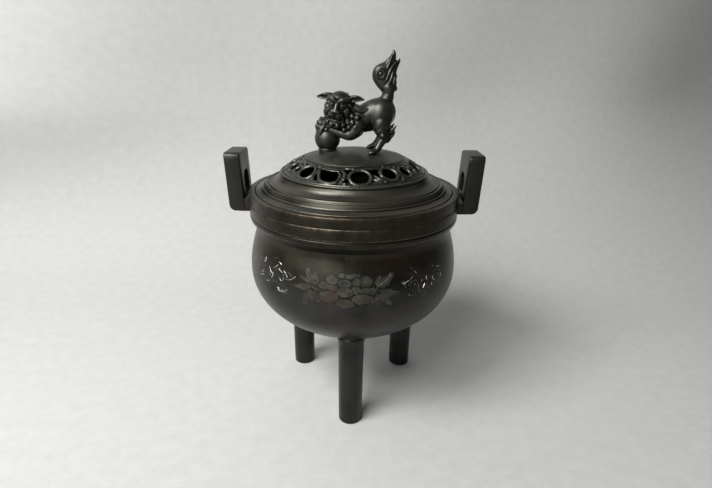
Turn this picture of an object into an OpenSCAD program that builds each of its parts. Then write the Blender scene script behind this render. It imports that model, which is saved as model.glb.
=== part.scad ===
// Lidded bronze incense burner on three legs, with two upright slab handles,
// a pierced lid and a guardian lion finial.
// Origin: centre of the circle through the feet, on the floor. +Z up, front leg towards -Y,
// handles on +X and -X.

/* [Bowl] */
// Largest outer radius of the bowl
belly_r = 60.1; // [59.8:0.1:60.6]
// Height of the widest point of the bowl above the floor
belly_z = 86.6; // [86:0.1:87.4]
// Height of the outside of the bowl's bottom above the floor
bottom_z = 45.6; // [44:0.2:47]
// Thickness of the cast bowl wall
wall_t = 3; // [2.6:0.1:3.6]
// Outer radius of the rim moulding
rim_r = 59; // [58.6:0.1:60]
// Height of the rim above the floor
rim_z = 131; // [130.5:0.1:131.5]
// Depth of the incised lines round the rim
groove_d = 0.7; // [0.4:0.1:1]

/* [Legs] */
// Radius of the circle the legs stand on
leg_circle_r = 38.4; // [36:0.2:40]
// Radius of a leg at the foot
leg_foot_r = 6.8; // [6:0.1:7.2]
// Radius of a leg under its collar
leg_top_r = 7.2; // [6.4:0.1:7.6]
// Radius of the tenon that passes through the bowl
leg_tenon_r = 2.5; // [2:0.1:3]

/* [Handles] */
// Width of a handle along the rim
handle_w = 22; // [18:0.5:24]
// Thickness of the handle slab
handle_t = 8.7; // [7:0.1:9.5]
// Height of the top of the handles above the floor
handle_top_z = 151.2; // [146:0.2:154]
// Outward lean of the handles, in degrees
handle_lean = 2.4; // [0:0.1:4]
// Width of the slot through a handle
slot_w = 9; // [7:0.5:11]
// Height of the slot
slot_h = 14.6; // [12:0.2:16]

/* [Lid] */
// Outer radius of the lid's flange
lid_r = 55.4; // [55.2:0.05:55.5]
// Rise of the crown disc from its edge to its middle
crown_rise = 4; // [3:0.1:4.5]
// Radius of the hole in the largest ring of the pierced band
ring_hole_r = 4.3; // [3.8:0.1:4.4]
// Width of the half-oval window beside it
half_oval_w = 8.8; // [8:0.2:9]

/* [Finial] */
// Radius of the ball under the lion's forepaws
ball_r = 7.05; // [6.5:0.05:7.2]
// Radius of the rivets that hold the finial
finial_pin_r = 1.4; // [1.2:0.1:1.8]

/* [Hidden] */
$fa = 4;
$fs = 0.6;

bronze = "#3b3834";
bronze_worn = "#5a574a";
rivet_bronze = "#6a5f45";

// Lid seat inside the rim: a recess for the flange above a plain throat.
seat_r = lid_r + 0.35;
seat_z = rim_z - 2.5;
throat_r = 52.6;
belly_power = 2.09;

// Legs, one every 120 degrees from the front.
leg_front_angle = -90;
leg_rear_left_angle = 150;
leg_rear_right_angle = 30;
leg_angles = [leg_front_angle, leg_rear_left_angle, leg_rear_right_angle];
collar_z = 55;
collar_h = 2;
leg_tenon_z = 59.5;

// Handles: where the inner face of the slab starts, and the rivet through the foot.
handle_in_x = 60.6;
handle_foot_z = 118.7;
slot_z = 125.6;
handle_rivet_z = 121.8;
handle_rivet_r = 1.6;

// Lid: lower face of the flange, the ring that locates it in the throat, and three ridges.
flange_z = seat_z + 0.05;
locating_r = throat_r - 0.4;
locating_t = 2;
locating_z = 125.6;
ridges = [[51.1, 132.2], [49, 133.4], [46.9, 134.6]];
ridge_r = 0.85;
bead = [40.2, 139.6];
bead_r = 0.9;

// Pierced band between the bead and the crown: a shallow dome on a cone of this slope.
band_low = [39.4, 140.5];
band_high = [27.6, 147.9];
band_t = 2;
band_bulge = 0.75;
band_slope = atan2(band_high[1] - band_low[1], band_low[0] - band_high[0]);
band_middle_r = (band_low[0] + band_high[0]) / 2;

// The pierced pattern comes three times round the band. Its places are given as mm along the
// band from the front of the repeat, and mm up the slope from the middle of the band.
repeats = 3;
ring_wire_r = 0.95;
ring_sink = 0.1;
rings = [
    // along, up, radius of the hole
    [-33.6, -0.8, ring_hole_r - 2.5],
    [-26, -0.2, ring_hole_r - 0.4],
    [3.3, -0.4, ring_hole_r],
    [19.1, 0.8, ring_hole_r - 0.4],
    [30, 0, ring_hole_r - 1.3]
];
half_oval_at = [-11.4, 1.8];
leaf_at = [12, -2.2];
small_holes = [[-18.5, -2.4, 0.9], [11.7, 3.2, 1.5], [24.9, 5.2, 0.7]];
beads = [[-4.9, -3.9, 1], [-3.6, -5, 0.9], [18.2, 5, 0.8], [14.4, -4.7, 1.1], [24.4, -5, 0.9]];

// Crown disc.
crown_r = 27.9;
crown_z = 148.5;
crown_t = 1.8;
crown_sphere_r = (pow(crown_r, 2) + pow(crown_rise, 2)) / (2 * crown_rise);

// Finial: the ball, and where the pegs of the hind feet pass through the crown.
ball = [-14.9, 0, crown_top(14.9) + ball_r - 0.3];
hind_pegs = [[11, -9.3], [9.4, 6]];
tail_seat_z = 181.6;

// Height of the crown's upper face at a distance from the axis.
function crown_top(d) =
    crown_z + crown_rise - crown_sphere_r + sqrt(pow(crown_sphere_r, 2) - pow(d, 2));

// Points of an arc in a radius-and-height plane.
function arc(centre, r, from, to, steps) = [
    for (i = [0 : steps]) let (a = from + (to - from) * i / steps)
        centre + r * [cos(a), sin(a)]
];

// Lower half of the bowl, from the middle of the underside to the widest point.
function belly_curve(inset) = let (drop = belly_z - bottom_z - inset, r = belly_r - inset) concat(
    [[0, belly_z - drop]],
    [for (a = [6 : 6 : 84]) [
        r * pow(sin(a), 2 / belly_power),
        belly_z - drop * pow(cos(a), 2 / belly_power)
    ]],
    [[r, belly_z]]
);

// Upper half of the bowl: in to the throat, then out under the rim.
function shoulder_curve() = [
    [belly_r - 0.3, belly_z + 5], [belly_r - 1, belly_z + 9.8],
    [belly_r - 2, belly_z + 14.6], [belly_r - 3.4, belly_z + 19.4],
    [belly_r - 4.1, belly_z + 22.4], [belly_r - 4.4, belly_z + 25.6],
    [rim_r - 2.7, belly_z + 26.4]
];

// Quarter-round and two incised lines of the rim.
function rim_curve() = concat(
    arc([rim_r - 4.6, rim_z - 12.6], 4.6, -45, 0, 4),
    [for (z = [rim_z - 12.2, rim_z - 5.5]) each [
        [rim_r, z - 0.4], [rim_r - groove_d, z], [rim_r, z + 0.4]
    ]],
    [[rim_r, rim_z - 0.6], [rim_r - 0.6, rim_z], [0, rim_z]]
);

module bowl_blank() {
    rotate_extrude($fn = 120) polygon(concat(belly_curve(0), shoulder_curve(), rim_curve()));
}

module bowl_cavity() {
    rotate_extrude($fn = 120) polygon(concat(
        belly_curve(wall_t),
        [
            [belly_r - wall_t - 1, belly_z + 9.8], [throat_r + 2, belly_z + 17.6],
            [throat_r, belly_z + 22.4], [throat_r, seat_z], [seat_r, seat_z],
            [seat_r, rim_z + 5], [0, rim_z + 5]
        ]
    ));
}

module at_leg(angle) {
    rotate([0, 0, angle]) translate([leg_circle_r, 0, 0]) children();
}

module at_side(side) {
    rotate([0, 0, side < 0 ? 180 : 0]) children();
}

module handle_rivet_shank() {
    translate([50, 0, handle_rivet_z]) rotate([0, 90, 0]) cylinder(r = handle_rivet_r, h = 15);
}

module bowl() {
    color(bronze)
    difference() {
        bowl_blank();
        bowl_cavity();
        for (angle = leg_angles)
            at_leg(angle) translate([0, 0, bottom_z]) cylinder(r = leg_tenon_r, h = 20);
        for (side = [-1, 1])
            at_side(side) handle_rivet_shank();
    }
}

// A turned leg: tapering shaft with an eased foot edge, a small collar under the bowl,
// and a tenon up through the bowl's wall.
module leg(angle) {
    color(bronze)
    union() {
        difference() {
            at_leg(angle) rotate_extrude($fn = 64) polygon([
                [0, 0], [leg_foot_r - 0.5, 0], [leg_foot_r, 0.5],
                [leg_top_r, collar_z - 0.5], [leg_top_r + 0.6, collar_z],
                [leg_top_r + 0.6, collar_z + collar_h], [leg_top_r, collar_z + collar_h + 0.5],
                [leg_top_r, 64], [0, 64]
            ]);
            bowl_blank();
        }
        at_leg(angle) translate([0, 0, bottom_z])
            cylinder(r = leg_tenon_r, h = leg_tenon_z - bottom_z);
    }
}

module leg_front() {
    leg(leg_front_angle);
}

module leg_rear_left() {
    leg(leg_rear_left_angle);
}

module leg_rear_right() {
    leg(leg_rear_right_angle);
}

// Peened caps over the tenons, inside the bowl.
module leg_rivets() {
    color(rivet_bronze)
    for (angle = leg_angles)
        difference() {
            intersection() {
                at_leg(angle) translate([0.8, 0, leg_tenon_z - 3.4]) sphere(r = 5, $fn = 48);
                bowl_cavity();
            }
            at_leg(angle) translate([0, 0, bottom_z])
                cylinder(r = leg_tenon_r, h = leg_tenon_z - bottom_z);
        }
}

// Outline of a handle seen along the rim: a leaning slab on a foot that reaches the rim.
module handle_side_outline() {
    lean = (handle_top_z - handle_foot_z) * tan(handle_lean);
    top_in = handle_in_x + lean;
    top_out = top_in + handle_t;
    low_out = handle_in_x + handle_t + 0.2;
    polygon(concat(
        [[50, handle_foot_z - 0.3]],
        [[rim_r + 1, handle_foot_z]],
        arc([low_out - 3, handle_foot_z + 4.6], 3, -75, 0, 4),
        arc([top_out - 0.9, handle_top_z - 0.9], 0.9, 0, 90, 3),
        arc([top_in + 0.9, handle_top_z - 0.9], 0.9, 90, 180, 3),
        [[handle_in_x + 0.4, slot_z + 1.2], [handle_in_x - 0.4, slot_z + 0.1]],
        [[50, slot_z - 0.6]]
    ));
}

// Outline of a handle seen along the axis from one handle to the other.
module handle_face_outline() {
    w = handle_w / 2;
    polygon(concat(
        [[-w + 0.8, handle_foot_z - 3], [w - 0.8, handle_foot_z - 3]],
        [[w, handle_foot_z + 2]],
        arc([w - 2, handle_top_z - 2], 2, 0, 90, 4),
        arc([-w + 2, handle_top_z - 2], 2, 90, 180, 4),
        [[-w, handle_foot_z + 2]]
    ));
}

// Slot with round ends, cut right through the slab.
module handle_slot() {
    r = slot_w / 2;
    translate([rim_r + 0.2, 0, 0]) rotate([90, 0, 90]) linear_extrude(20) polygon(concat(
        arc([0, slot_z + r], r, 180, 360, 16),
        arc([0, slot_z + slot_h - r], r, 0, 180, 16)
    ));
}

module handle(side) {
    color(bronze)
    at_side(side)
    difference() {
        intersection() {
            rotate([90, 0, 0]) linear_extrude(handle_w + 2, center = true)
                handle_side_outline();
            translate([50, 0, 0]) rotate([90, 0, 90]) linear_extrude(30)
                handle_face_outline();
        }
        handle_slot();
        handle_rivet_shank();
        cylinder(r = rim_r, h = 200, $fn = 120);
    }
}

module handle_left() {
    handle(-1);
}

module handle_right() {
    handle(1);
}

// Rivets through the rim's wall into the feet of the handles, with low round heads.
module handle_rivets() {
    color(rivet_bronze)
    for (side = [-1, 1])
        at_side(side) {
            difference() {
                translate([throat_r + 2.1, 0, handle_rivet_z]) sphere(r = 3.4, $fn = 48);
                difference() {
                    cylinder(r = 80, h = 200);
                    cylinder(r = throat_r, h = 200, $fn = 120);
                }
            }
            intersection() {
                handle_rivet_shank();
                translate([throat_r - 0.6, -5, 100]) cube([20, 10, 40]);
            }
        }
}

// The lid's flange, ridges, cove and bead in one revolved shell, open in the middle.
module lid_shell() {
    inner_low = band_low + band_t * [-sin(band_slope), -cos(band_slope)];
    color(bronze_worn)
    rotate_extrude($fn = 120) polygon(concat(
        [[lid_r, flange_z], [lid_r, rim_z - 0.1], [lid_r - 0.4, rim_z + 0.2]],
        [[ridges[0][0] + 2.2, rim_z + 0.6]],
        [for (c = ridges) each arc(c, ridge_r, 10, 115, 7)],
        [[45.5, 135.2], [44, 135.9], [42.6, 136.9], [41.5, 138]],
        arc(bead, bead_r, -20, 125, 9),
        [band_low, inner_low],
        [[39.6, 136.9], [41.4, 135.5], [43.6, 133.9], [46, 132.5], [48.6, 131.2]],
        [[locating_r - locating_t, 130.2], [locating_r - locating_t, locating_z]],
        [[locating_r - 0.4, locating_z], [locating_r, locating_z + 0.5], [locating_r, flange_z]]
    ));
}

// Places children on the band: x along the rim, y up the slope, z out of the surface.
module on_band(along, up) {
    rotate([0, 0, -90 + along / band_middle_r * 180 / PI])
    translate([band_middle_r, 0, (band_low[1] + band_high[1]) / 2])
    rotate([0, band_slope, 0])
    rotate([0, 0, 90])
    translate([0, up, 0])
    children();
}

// Shallow dome between the bead and the crown, before it is pierced.
module band_blank() {
    out = [sin(band_slope), cos(band_slope)];
    inward = [-out[1], out[0]];
    steps = 6;
    rotate_extrude($fn = 120) polygon(concat(
        [for (i = [0 : steps])
            band_low + (band_high - band_low) * i / steps + out * band_bulge * sin(180 * i / steps)],
        [band_high - [1.2, 0], band_high - [1.2, band_t]],
        [for (i = [steps - 1 : -1 : 0])
            band_low + (band_high - band_low) * i / steps
                + out * (band_bulge * sin(180 * i / steps) - band_t)]
    ));
}

// Half-oval window with a flat upper edge.
module half_oval() {
    r = half_oval_w / 2;
    linear_extrude(12, center = true) polygon(concat(
        arc([0, 0], r, 180, 360, 14), [[r - 0.3, 1.1], [0.3 - r, 1.1]]
    ));
}

// Round scroll wire lying on the band.
module scroll_ring(r, wire_r) {
    translate([0, 0, band_bulge - ring_sink])
        rotate_extrude($fn = 48) translate([r, 0]) circle(r = wire_r, $fn = 16);
}

// Windows of one repeat: five rings, the half oval and the small holes between the scrolls.
module repeat_windows() {
    for (ring = rings)
        on_band(ring[0], ring[1]) cylinder(r = ring[2], h = 12, center = true, $fn = 48);
    on_band(half_oval_at[0], half_oval_at[1]) half_oval();
    for (hole = small_holes)
        on_band(hole[0], hole[1]) cylinder(r = hole[2], h = 12, center = true, $fn = 24);
}

// Pointed leaf in low relief, its tip up and to the left.
module leaf() {
    length = 7.4;
    bend_r = 5.2;
    off = sqrt(pow(bend_r, 2) - pow(length / 2, 2));
    rotate([0, 0, 38])
    translate([0, 0, -0.4])
    intersection() {
        translate([off, 0, 0]) cylinder(r = bend_r, h = band_bulge + 0.9, $fn = 64);
        translate([-off, 0, 0]) cylinder(r = bend_r, h = band_bulge + 0.9, $fn = 64);
    }
}

// Raised work of one repeat: a wire round each ring, the scrolls that hold the half oval and
// the last ring, the leaf, and the beads.
module repeat_relief() {
    for (ring = rings)
        on_band(ring[0], ring[1]) scroll_ring(ring[2] + ring_wire_r - ring_sink, ring_wire_r);
    on_band(half_oval_at[0], half_oval_at[1]) {
        intersection() {
            scroll_ring(half_oval_w / 2 + 1.3, 1.05);
            translate([0, -10.6, 0]) cube([20, 20, 10], center = true);
        }
        translate([0, 2.5, band_bulge - 0.5]) rotate([0, 90, 0])
            cylinder(r = 1.1, h = half_oval_w, center = true, $fn = 16);
    }
    on_band(rings[4][0], rings[4][1]) intersection() {
        scroll_ring(rings[4][2] + 2.5, 0.85);
        translate([-11, 0, 0]) cube([20, 20, 10], center = true);
    }
    on_band(leaf_at[0], leaf_at[1]) leaf();
    for (bead_at = beads)
        on_band(bead_at[0], bead_at[1]) translate([0, 0, band_bulge - 0.3])
            sphere(r = bead_at[2], $fn = 20);
}

module lid_openwork() {
    color(bronze_worn)
    difference() {
        union() {
            band_blank();
            for (k = [0 : repeats - 1])
                rotate([0, 0, k * 360 / repeats]) repeat_relief();
        }
        for (k = [0 : repeats - 1])
            rotate([0, 0, k * 360 / repeats]) repeat_windows();
    }
}

module crown_blank() {
    edge = [crown_r, crown_z];
    rotate_extrude($fn = 120) polygon(concat(
        [for (d = [0 : 3 : 27]) [d, crown_top(d)]],
        [edge, [crown_r, band_high[1]], [band_high[0] - 1.2, band_high[1]]],
        [[band_high[0] - 1.2, band_high[1] - 1]],
        [for (d = [24 : -4 : 0]) [d, crown_top(d) - crown_t]]
    ));
}

module finial_bores() {
    translate([ball[0], 0, 140]) cylinder(r = finial_pin_r, h = ball[2] - 140 - 2, $fn = 32);
    for (p = hind_pegs)
        translate([p[0], p[1], 140]) cylinder(r = finial_pin_r, h = 20, $fn = 32);
}

module lid_crown() {
    color(bronze_worn)
    difference() {
        crown_blank();
        finial_bores();
    }
}

module lion_ball() {
    color(bronze)
    difference() {
        translate(ball) sphere(r = ball_r, $fn = 72);
        crown_blank();
        finial_bores();
    }
}

// Everything above the crown's lower face, near the axis.
module above_crown_underside() {
    rotate_extrude($fn = 120) polygon(concat(
        [for (d = [0 : 4 : 24]) [d, crown_top(d) - crown_t]], [[24, 200], [0, 200]]
    ));
}

// Pin up into the ball, and the peened heads of all three finial fixings under the crown.
module finial_rivets() {
    color(rivet_bronze) {
        difference() {
            for (p = concat([[ball[0], 0]], hind_pegs))
                translate([p[0], p[1], crown_top(norm(p)) - crown_t + 1.1])
                sphere(r = 2.9, $fn = 36);
            above_crown_underside();
        }
        intersection() {
            translate([ball[0], 0, 140])
                cylinder(r = finial_pin_r, h = ball[2] - 140 - 2, $fn = 32);
            above_crown_underside();
        }
    }
}

// Blends a row of balls, each given as [x, y, z, radius], into one limb.
module limb(balls, sides = 14) {
    for (i = [0 : len(balls) - 2])
        hull()
            for (b = [balls[i], balls[i + 1]])
                translate([b[0], b[1], b[2]]) sphere(r = b[3], $fn = sides);
}

module tufts(balls, sides = 10) {
    for (b = balls)
        translate([b[0], b[1], b[2]]) sphere(r = b[3], $fn = sides);
}

module lion_trunk() {
    scale([1, 0.9, 1])
    limb([
        [-4.6, -1, 170, 6], [1, -0.6, 168, 7.1], [7, 0, 170.2, 7.3], [14.7, 0, 172.5, 7.5]
    ], 24);
    limb([[16.2, 0, 177.6, 4.4], [17.4, 0, 182.4, 3.4]], 18);
}

module lion_forelegs() {
    limb([
        [1.5, -4, 166.5, 4.2], [-2.6, -4.8, 161.2, 3.3], [-10.6, -4.4, 162.9, 2.6],
        [-15.4, -3.2, 164.4, 2.7]
    ]);
    limb([
        [1.5, 3.6, 166.5, 4], [-3, 4.2, 161.8, 3.1], [-10.6, 3.6, 163.2, 2.5],
        [-16, 2.8, 164.6, 2.6]
    ]);
    limb([[-16, -2.2, 165.6, 3], [-19, -1.2, 165.4, 3], [-20.6, -1.6, 163.6, 1.9]]);
    tufts([
        [-16.6, -3.8, 167.4, 1.8], [-19.2, -2.6, 167.5, 1.7], [-21, -2.6, 164.8, 1.5],
        [-13.8, -4.6, 166, 1.7], [-17.6, 0.6, 168.2, 1.8]
    ]);
}

module lion_hind_leg(side, hock, ankle, toe) {
    limb([[14, side * 4, 168.4, 5.6], hock, ankle, toe]);
    limb([[hock[0] + 0.4, hock[1], hock[2] + 0.8, 2], [22, hock[1] + side * -0.6, 165.8, 0.45]], 10);
    limb([[hock[0] + 0.4, hock[1], hock[2] - 0.4, 1.8], [21, hock[1], 162.5, 0.45]], 10);
}

module lion_head() {
    limb([[-8, -3, 176.2, 7.2], [-4.4, -3, 172.6, 6.6]], 24);
    limb([[-9.6, -6, 174.4, 4.8], [-12.3, -8.6, 173, 3.5]], 16);
    limb([[-9.6, -6, 171, 3.6], [-12.3, -8.6, 169.6, 2.6]], 14);
    limb([[-11.2, -9.6, 176.4, 1.5], [-12.2, -11.6, 174.4, 1.4]], 12);
    limb([[-14.2, -7.2, 178.4, 1.5], [-11.4, -9.4, 178.4, 1.5]], 12);
    limb([[-9.6, -9.8, 178.6, 1.5], [-5.4, -9.2, 178.8, 1.7]], 12);
    limb([[-13.6, -2.8, 180.6, 2.2], [-17, -3, 182, 1.3], [-20.4, -3, 180.9, 0.5]], 12);
    limb([[-2.4, -2.6, 180, 2.2], [1, -2.4, 180.8, 1.3], [4.5, -2.2, 178.8, 0.5]], 12);
}

// Curls of the mane and beard.
module lion_mane() {
    tufts([
        [-15, -2.6, 173.6, 2.6], [-15.4, -4.4, 170.6, 2.2], [-13.6, -6.6, 167.2, 2],
        [-10.2, -8, 165.8, 2], [-6.6, -8, 166, 2.2], [-3.6, -7.4, 168.6, 2.4],
        [-1.6, -6.4, 172, 2.5], [-1.8, -5.6, 176, 2.4], [-0.2, -2.4, 174, 2.6],
        [-0.6, -3, 170.2, 2.5], [-3.4, -5.2, 166, 2.2], [-4.4, 1.8, 178.4, 3],
        [-9, 2.6, 178.6, 3], [-13, 1.4, 176.4, 2.8], [-13.6, 1.4, 172.2, 2.8],
        [-0.8, 1.6, 175.6, 3]
    ], 12);
}

module lion_body() {
    color(bronze)
    difference() {
        union() {
            lion_trunk();
            lion_forelegs();
            lion_hind_leg(-1, [15.6, -5.6, 161.4, 2.7], [12.6, -8.2, 155.6, 2], [8.8, -10.8, 152.6, 1.7]);
            lion_hind_leg(1, [14, 5.4, 160.6, 2.5], [11.4, 6, 156, 1.9], [7.6, 6.4, 152.8, 1.6]);
            lion_head();
            lion_mane();
            for (p = hind_pegs)
                translate([p[0], p[1], crown_top(norm(p)) - 0.5]) cylinder(r = 1.6, h = 3, $fn = 16);
        }
        translate(ball) sphere(r = ball_r + 0.05, $fn = 60);
        crown_blank();
        translate([10, -8, tail_seat_z]) cube([14, 16, 10]);
    }
}

// Upright flame tail: a bulb with a spiral curl on each side, and two pointed tips.
module lion_tail() {
    color(bronze)
    difference() {
        union() {
            limb([[17.4, 0, 180.6, 3.6], [17.3, 0, 183.6, 3.1]], 18);
            scale([1, 0.66, 1]) {
                limb([
                    [17.2, 0, 183.4, 3.4], [14.3, 0, 190.3, 5.5], [17.4, 0, 194, 4.4],
                    [18.6, 0, 198.4, 2.4], [19.3, 0, 203.5, 0.6]
                ], 18);
                limb([[17.2, 0, 184, 3.6], [18.8, 0, 187.2, 3.9], [19.4, 0, 193.4, 2.8]], 16);
                limb([[20, 0, 194.4, 2.1], [22.5, 0, 199.2, 0.5]], 10);
                limb([[20.4, 0, 188, 2.2], [22, 0, 184.2, 0.7]], 10);
            }
            for (side = [-1, 1])
                translate([13.2, side * 3.4, 192]) rotate([90, 0, 0])
                    rotate_extrude($fn = 20) translate([1.6, 0]) circle(r = 0.55, $fn = 8);
        }
        translate([10, -8, 170]) cube([16, 16, tail_seat_z - 170]);
    }
}

bowl();
leg_front();
leg_rear_left();
leg_rear_right();
leg_rivets();
handle_left();
handle_right();
handle_rivets();
lid_shell();
lid_openwork();
lid_crown();
lion_body();
lion_tail();
lion_ball();
finial_rivets();
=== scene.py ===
import math

import bmesh
import bpy
import numpy as np
from mathutils import Matrix, Vector


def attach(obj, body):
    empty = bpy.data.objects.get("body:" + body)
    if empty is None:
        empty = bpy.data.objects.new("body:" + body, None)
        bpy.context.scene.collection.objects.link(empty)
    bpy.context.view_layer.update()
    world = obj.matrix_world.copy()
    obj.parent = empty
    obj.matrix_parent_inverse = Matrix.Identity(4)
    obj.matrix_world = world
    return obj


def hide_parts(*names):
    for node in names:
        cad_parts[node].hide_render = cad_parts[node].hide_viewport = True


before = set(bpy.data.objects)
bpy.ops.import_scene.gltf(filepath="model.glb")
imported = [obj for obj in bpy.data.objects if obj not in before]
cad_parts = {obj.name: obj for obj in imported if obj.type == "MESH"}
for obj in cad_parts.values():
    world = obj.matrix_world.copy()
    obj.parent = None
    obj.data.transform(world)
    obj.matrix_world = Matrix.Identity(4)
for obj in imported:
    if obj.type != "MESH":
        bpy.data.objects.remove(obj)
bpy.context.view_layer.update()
scene = bpy.context.scene

# Shapes are drawn in millimetres and scaled to metres when a piece is finished.
MM = 0.001


# ---------------------------------------------------------------- curves and small helpers

def smooth_line(points, steps=6):
    """Runs a Catmull-Rom curve through points of any dimension."""
    ends = [points[0], *points, points[-1]]
    line = []
    for p0, p1, p2, p3 in zip(ends, ends[1:], ends[2:], ends[3:]):
        for i in range(steps):
            t = i / steps
            line.append(tuple(
                0.5 * (2 * b + (c - a) * t + (2 * a - 5 * b + 4 * c - d) * t ** 2
                       + (3 * b - a - 3 * c + d) * t ** 3)
                for a, b, c, d in zip(p0, p1, p2, p3)))
    line.append(tuple(points[-1]))
    return line


def arc(centre, radius, start, end, steps):
    """Points of an arc, with angles in degrees."""
    angles = [math.radians(start + (end - start) * i / steps) for i in range(steps + 1)]
    return [(centre[0] + radius * math.cos(a), centre[1] + radius * math.sin(a)) for a in angles]


def rub_and_shade_from_shape(mesh, rounds=8, full=0.05):
    """Writes the attribute of rubbed metal and painted light from the shape: above nothing on rubbed
    ridges, below it in hollows as painted shade with dirt.

    full is how far in mm a place stands out of its softened surroundings for the most wear."""
    count = len(mesh.vertices)
    places = np.empty(count * 3)
    normals = np.empty(count * 3)
    ends = np.empty(len(mesh.edges) * 2, dtype=int)
    mesh.vertices.foreach_get("co", places)
    mesh.vertices.foreach_get("normal", normals)
    mesh.edges.foreach_get("vertices", ends)
    places, normals = places.reshape(-1, 3), normals.reshape(-1, 3)
    first, second = ends[0::2], ends[1::2]
    degree = np.maximum(1, np.bincount(ends, minlength=count))
    soft = places.copy()
    for _ in range(rounds):
        for axis in range(3):
            near = (np.bincount(first, soft[second, axis], count)
                    + np.bincount(second, soft[first, axis], count))
            soft[:, axis] = 0.4 * soft[:, axis] + 0.6 * near / degree
    stand = ((places - soft) * normals).sum(axis=1) / (full * MM)
    rub_and_shade = mesh.attributes.new("wear_and_painted_light", "FLOAT", "POINT")
    rub_and_shade.data.foreach_set("value", np.where(stand > 0, np.clip(stand, 0, 1) * 0.5,
                                           np.clip(stand, -1, 0) * 0.9))


def finish_piece(name, bm, body, nodes, material, crease=38, rubbed_and_shaded=False):
    """Makes the object: closes it, scales it to metres, shades it and puts it in the frame."""
    bmesh.ops.remove_doubles(bm, verts=bm.verts, dist=0.0005)
    bmesh.ops.recalc_face_normals(bm, faces=bm.faces)
    bmesh.ops.scale(bm, vec=(MM, MM, MM), verts=bm.verts)
    mesh = bpy.data.meshes.new(name)
    bm.to_mesh(mesh)
    bm.free()
    mesh.polygons.foreach_set("use_smooth", [True] * len(mesh.polygons))
    mesh.set_sharp_from_angle(angle=math.radians(crease))
    # Rubbed ridges, and painted shade with dirt in the hollows, read from the shape.
    if rubbed_and_shaded:
        rub_and_shade_from_shape(mesh)
    mesh.materials.append(material)
    piece = bpy.data.objects.new(name, mesh)
    scene.collection.objects.link(piece)
    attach(piece, body)
    if nodes:
        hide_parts(*nodes)
    return piece


def turned(profile, wear_and_painted_light=(), steps=180, closed=True, shade_and_dirt=()):
    """Spins a profile of (radius, height) points about the vertical axis.

    The two lists hold (radius, height, reach) spots: where the patina is rubbed thin, several of
    them laid as painted highlight lines, and where painted shade darkens it, with dirt in the grooves."""
    def strength(r, z, spots):
        return max([0.0] + [1 - math.hypot(r - sr, z - sz) / reach for sr, sz, reach in spots])

    fine = []
    for (r0, z0), (r1, z1) in zip(profile, profile[1:] + profile[:1]):
        near = any(min(math.hypot(r0 - wr, z0 - wz), math.hypot(r1 - wr, z1 - wz)) < reach + 0.3
                   for wr, wz, reach in (*wear_and_painted_light, *shade_and_dirt))
        parts = max(1, min(6, int(math.hypot(r1 - r0, z1 - z0) / 0.35))) if near else 1
        fine += [(r0 + (r1 - r0) * (k / parts) ** 2, z0 + (z1 - z0) * (k / parts) ** 2)
                 for k in range(parts)] if parts > 1 else [(r0, z0)]
    profile = fine
    bm = bmesh.new()
    rub_and_shade = bm.verts.layers.float.new("wear_and_painted_light")
    ring = []
    for r, z in profile:
        v = bm.verts.new((r, 0, z))
        v[rub_and_shade] = strength(r, z, wear_and_painted_light) - strength(r, z, shade_and_dirt)
        ring.append(v)
    pairs = list(zip(ring, ring[1:] + ring[:1])) if closed else list(zip(ring, ring[1:]))
    edges = [bm.edges.new(pair) for pair in pairs]
    bmesh.ops.spin(bm, geom=ring + edges, cent=(0, 0, 0), axis=(0, 0, 1),
                   angle=2 * math.pi, steps=steps, use_merge=True)
    return bm


# ---------------------------------------------------------------- metals

class Paint:
    """Adds nodes to a tree. Each input takes a plain value or another node's output."""

    def __init__(self, tree):
        self.tree = tree

    def feed(self, node, inputs):
        """Sets a node's inputs."""
        for socket, value in inputs.items():
            if isinstance(value, bpy.types.NodeSocket):
                self.tree.links.new(value, node.inputs[socket])
            else:
                node.inputs[socket].default_value = value

    def add(self, kind, output, inputs=None, **settings):
        """Adds a node and returns one of its outputs."""
        node = self.tree.nodes.new("ShaderNode" + kind)
        for setting, value in settings.items():
            setattr(node, setting, value)
        self.feed(node, inputs or {})
        return node.outputs[output]

    def noise(self, place, scale, detail, roughness=0.5, ripple=0.0):
        """Clouds from 0 to 1."""
        return self.add("TexNoise", "Fac", {"Vector": place, "Scale": scale, "Detail": detail,
                                            "Roughness": roughness, "Distortion": ripple})

    def ramp(self, factor, *stops):
        """A colour between two (position, colour) stops."""
        node = self.tree.nodes.new("ShaderNodeValToRGB")
        self.feed(node, {"Fac": factor})
        for k, (position, colour) in enumerate(stops):
            node.color_ramp.elements[k].position = position
            node.color_ramp.elements[k].color = (*colour, 1)
        return node.outputs["Color"]

    def spread(self, value, low, high, start=0.0, end=1.0, **settings):
        """A value mapped from between low and high to between start and end."""
        return self.add("MapRange", "Result", {"Value": value, "From Min": low, "From Max": high,
                                               "To Min": start, "To Max": end}, **settings)

    def blend(self, factor, first, second):
        """A plain second colour laid over the first."""
        return self.add("Mix", "Result", {"Factor": factor, "A": first, "B": (*second, 1)},
                        data_type="RGBA")

    def product(self, first, second, clamp=False):
        """Two values multiplied."""
        return self.add("Math", "Value", {0: first, 1: second}, operation="MULTIPLY",
                        use_clamp=clamp)

    def bump(self, height, strength, depth):
        """A surface roughened by a height, depth in metres."""
        return self.add("Bump", "Normal", {"Strength": strength, "Distance": depth,
                                           "Height": height})


def new_material(name, inputs, draw):
    """A material whose shader takes the inputs and whatever draw makes with its paint."""
    material = bpy.data.materials.new(name)
    material.use_nodes = True
    paint = Paint(material.node_tree)
    paint.feed(material.node_tree.nodes["Principled BSDF"], {**inputs, **draw(paint)})
    return material


# Over how many metres of height the colour turns grey as a painted reflection, and darkens as painted
# shade.
GREY_SHEEN_FADE, PAINTED_SHADE_FADE = 0.016, 0.006


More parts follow.
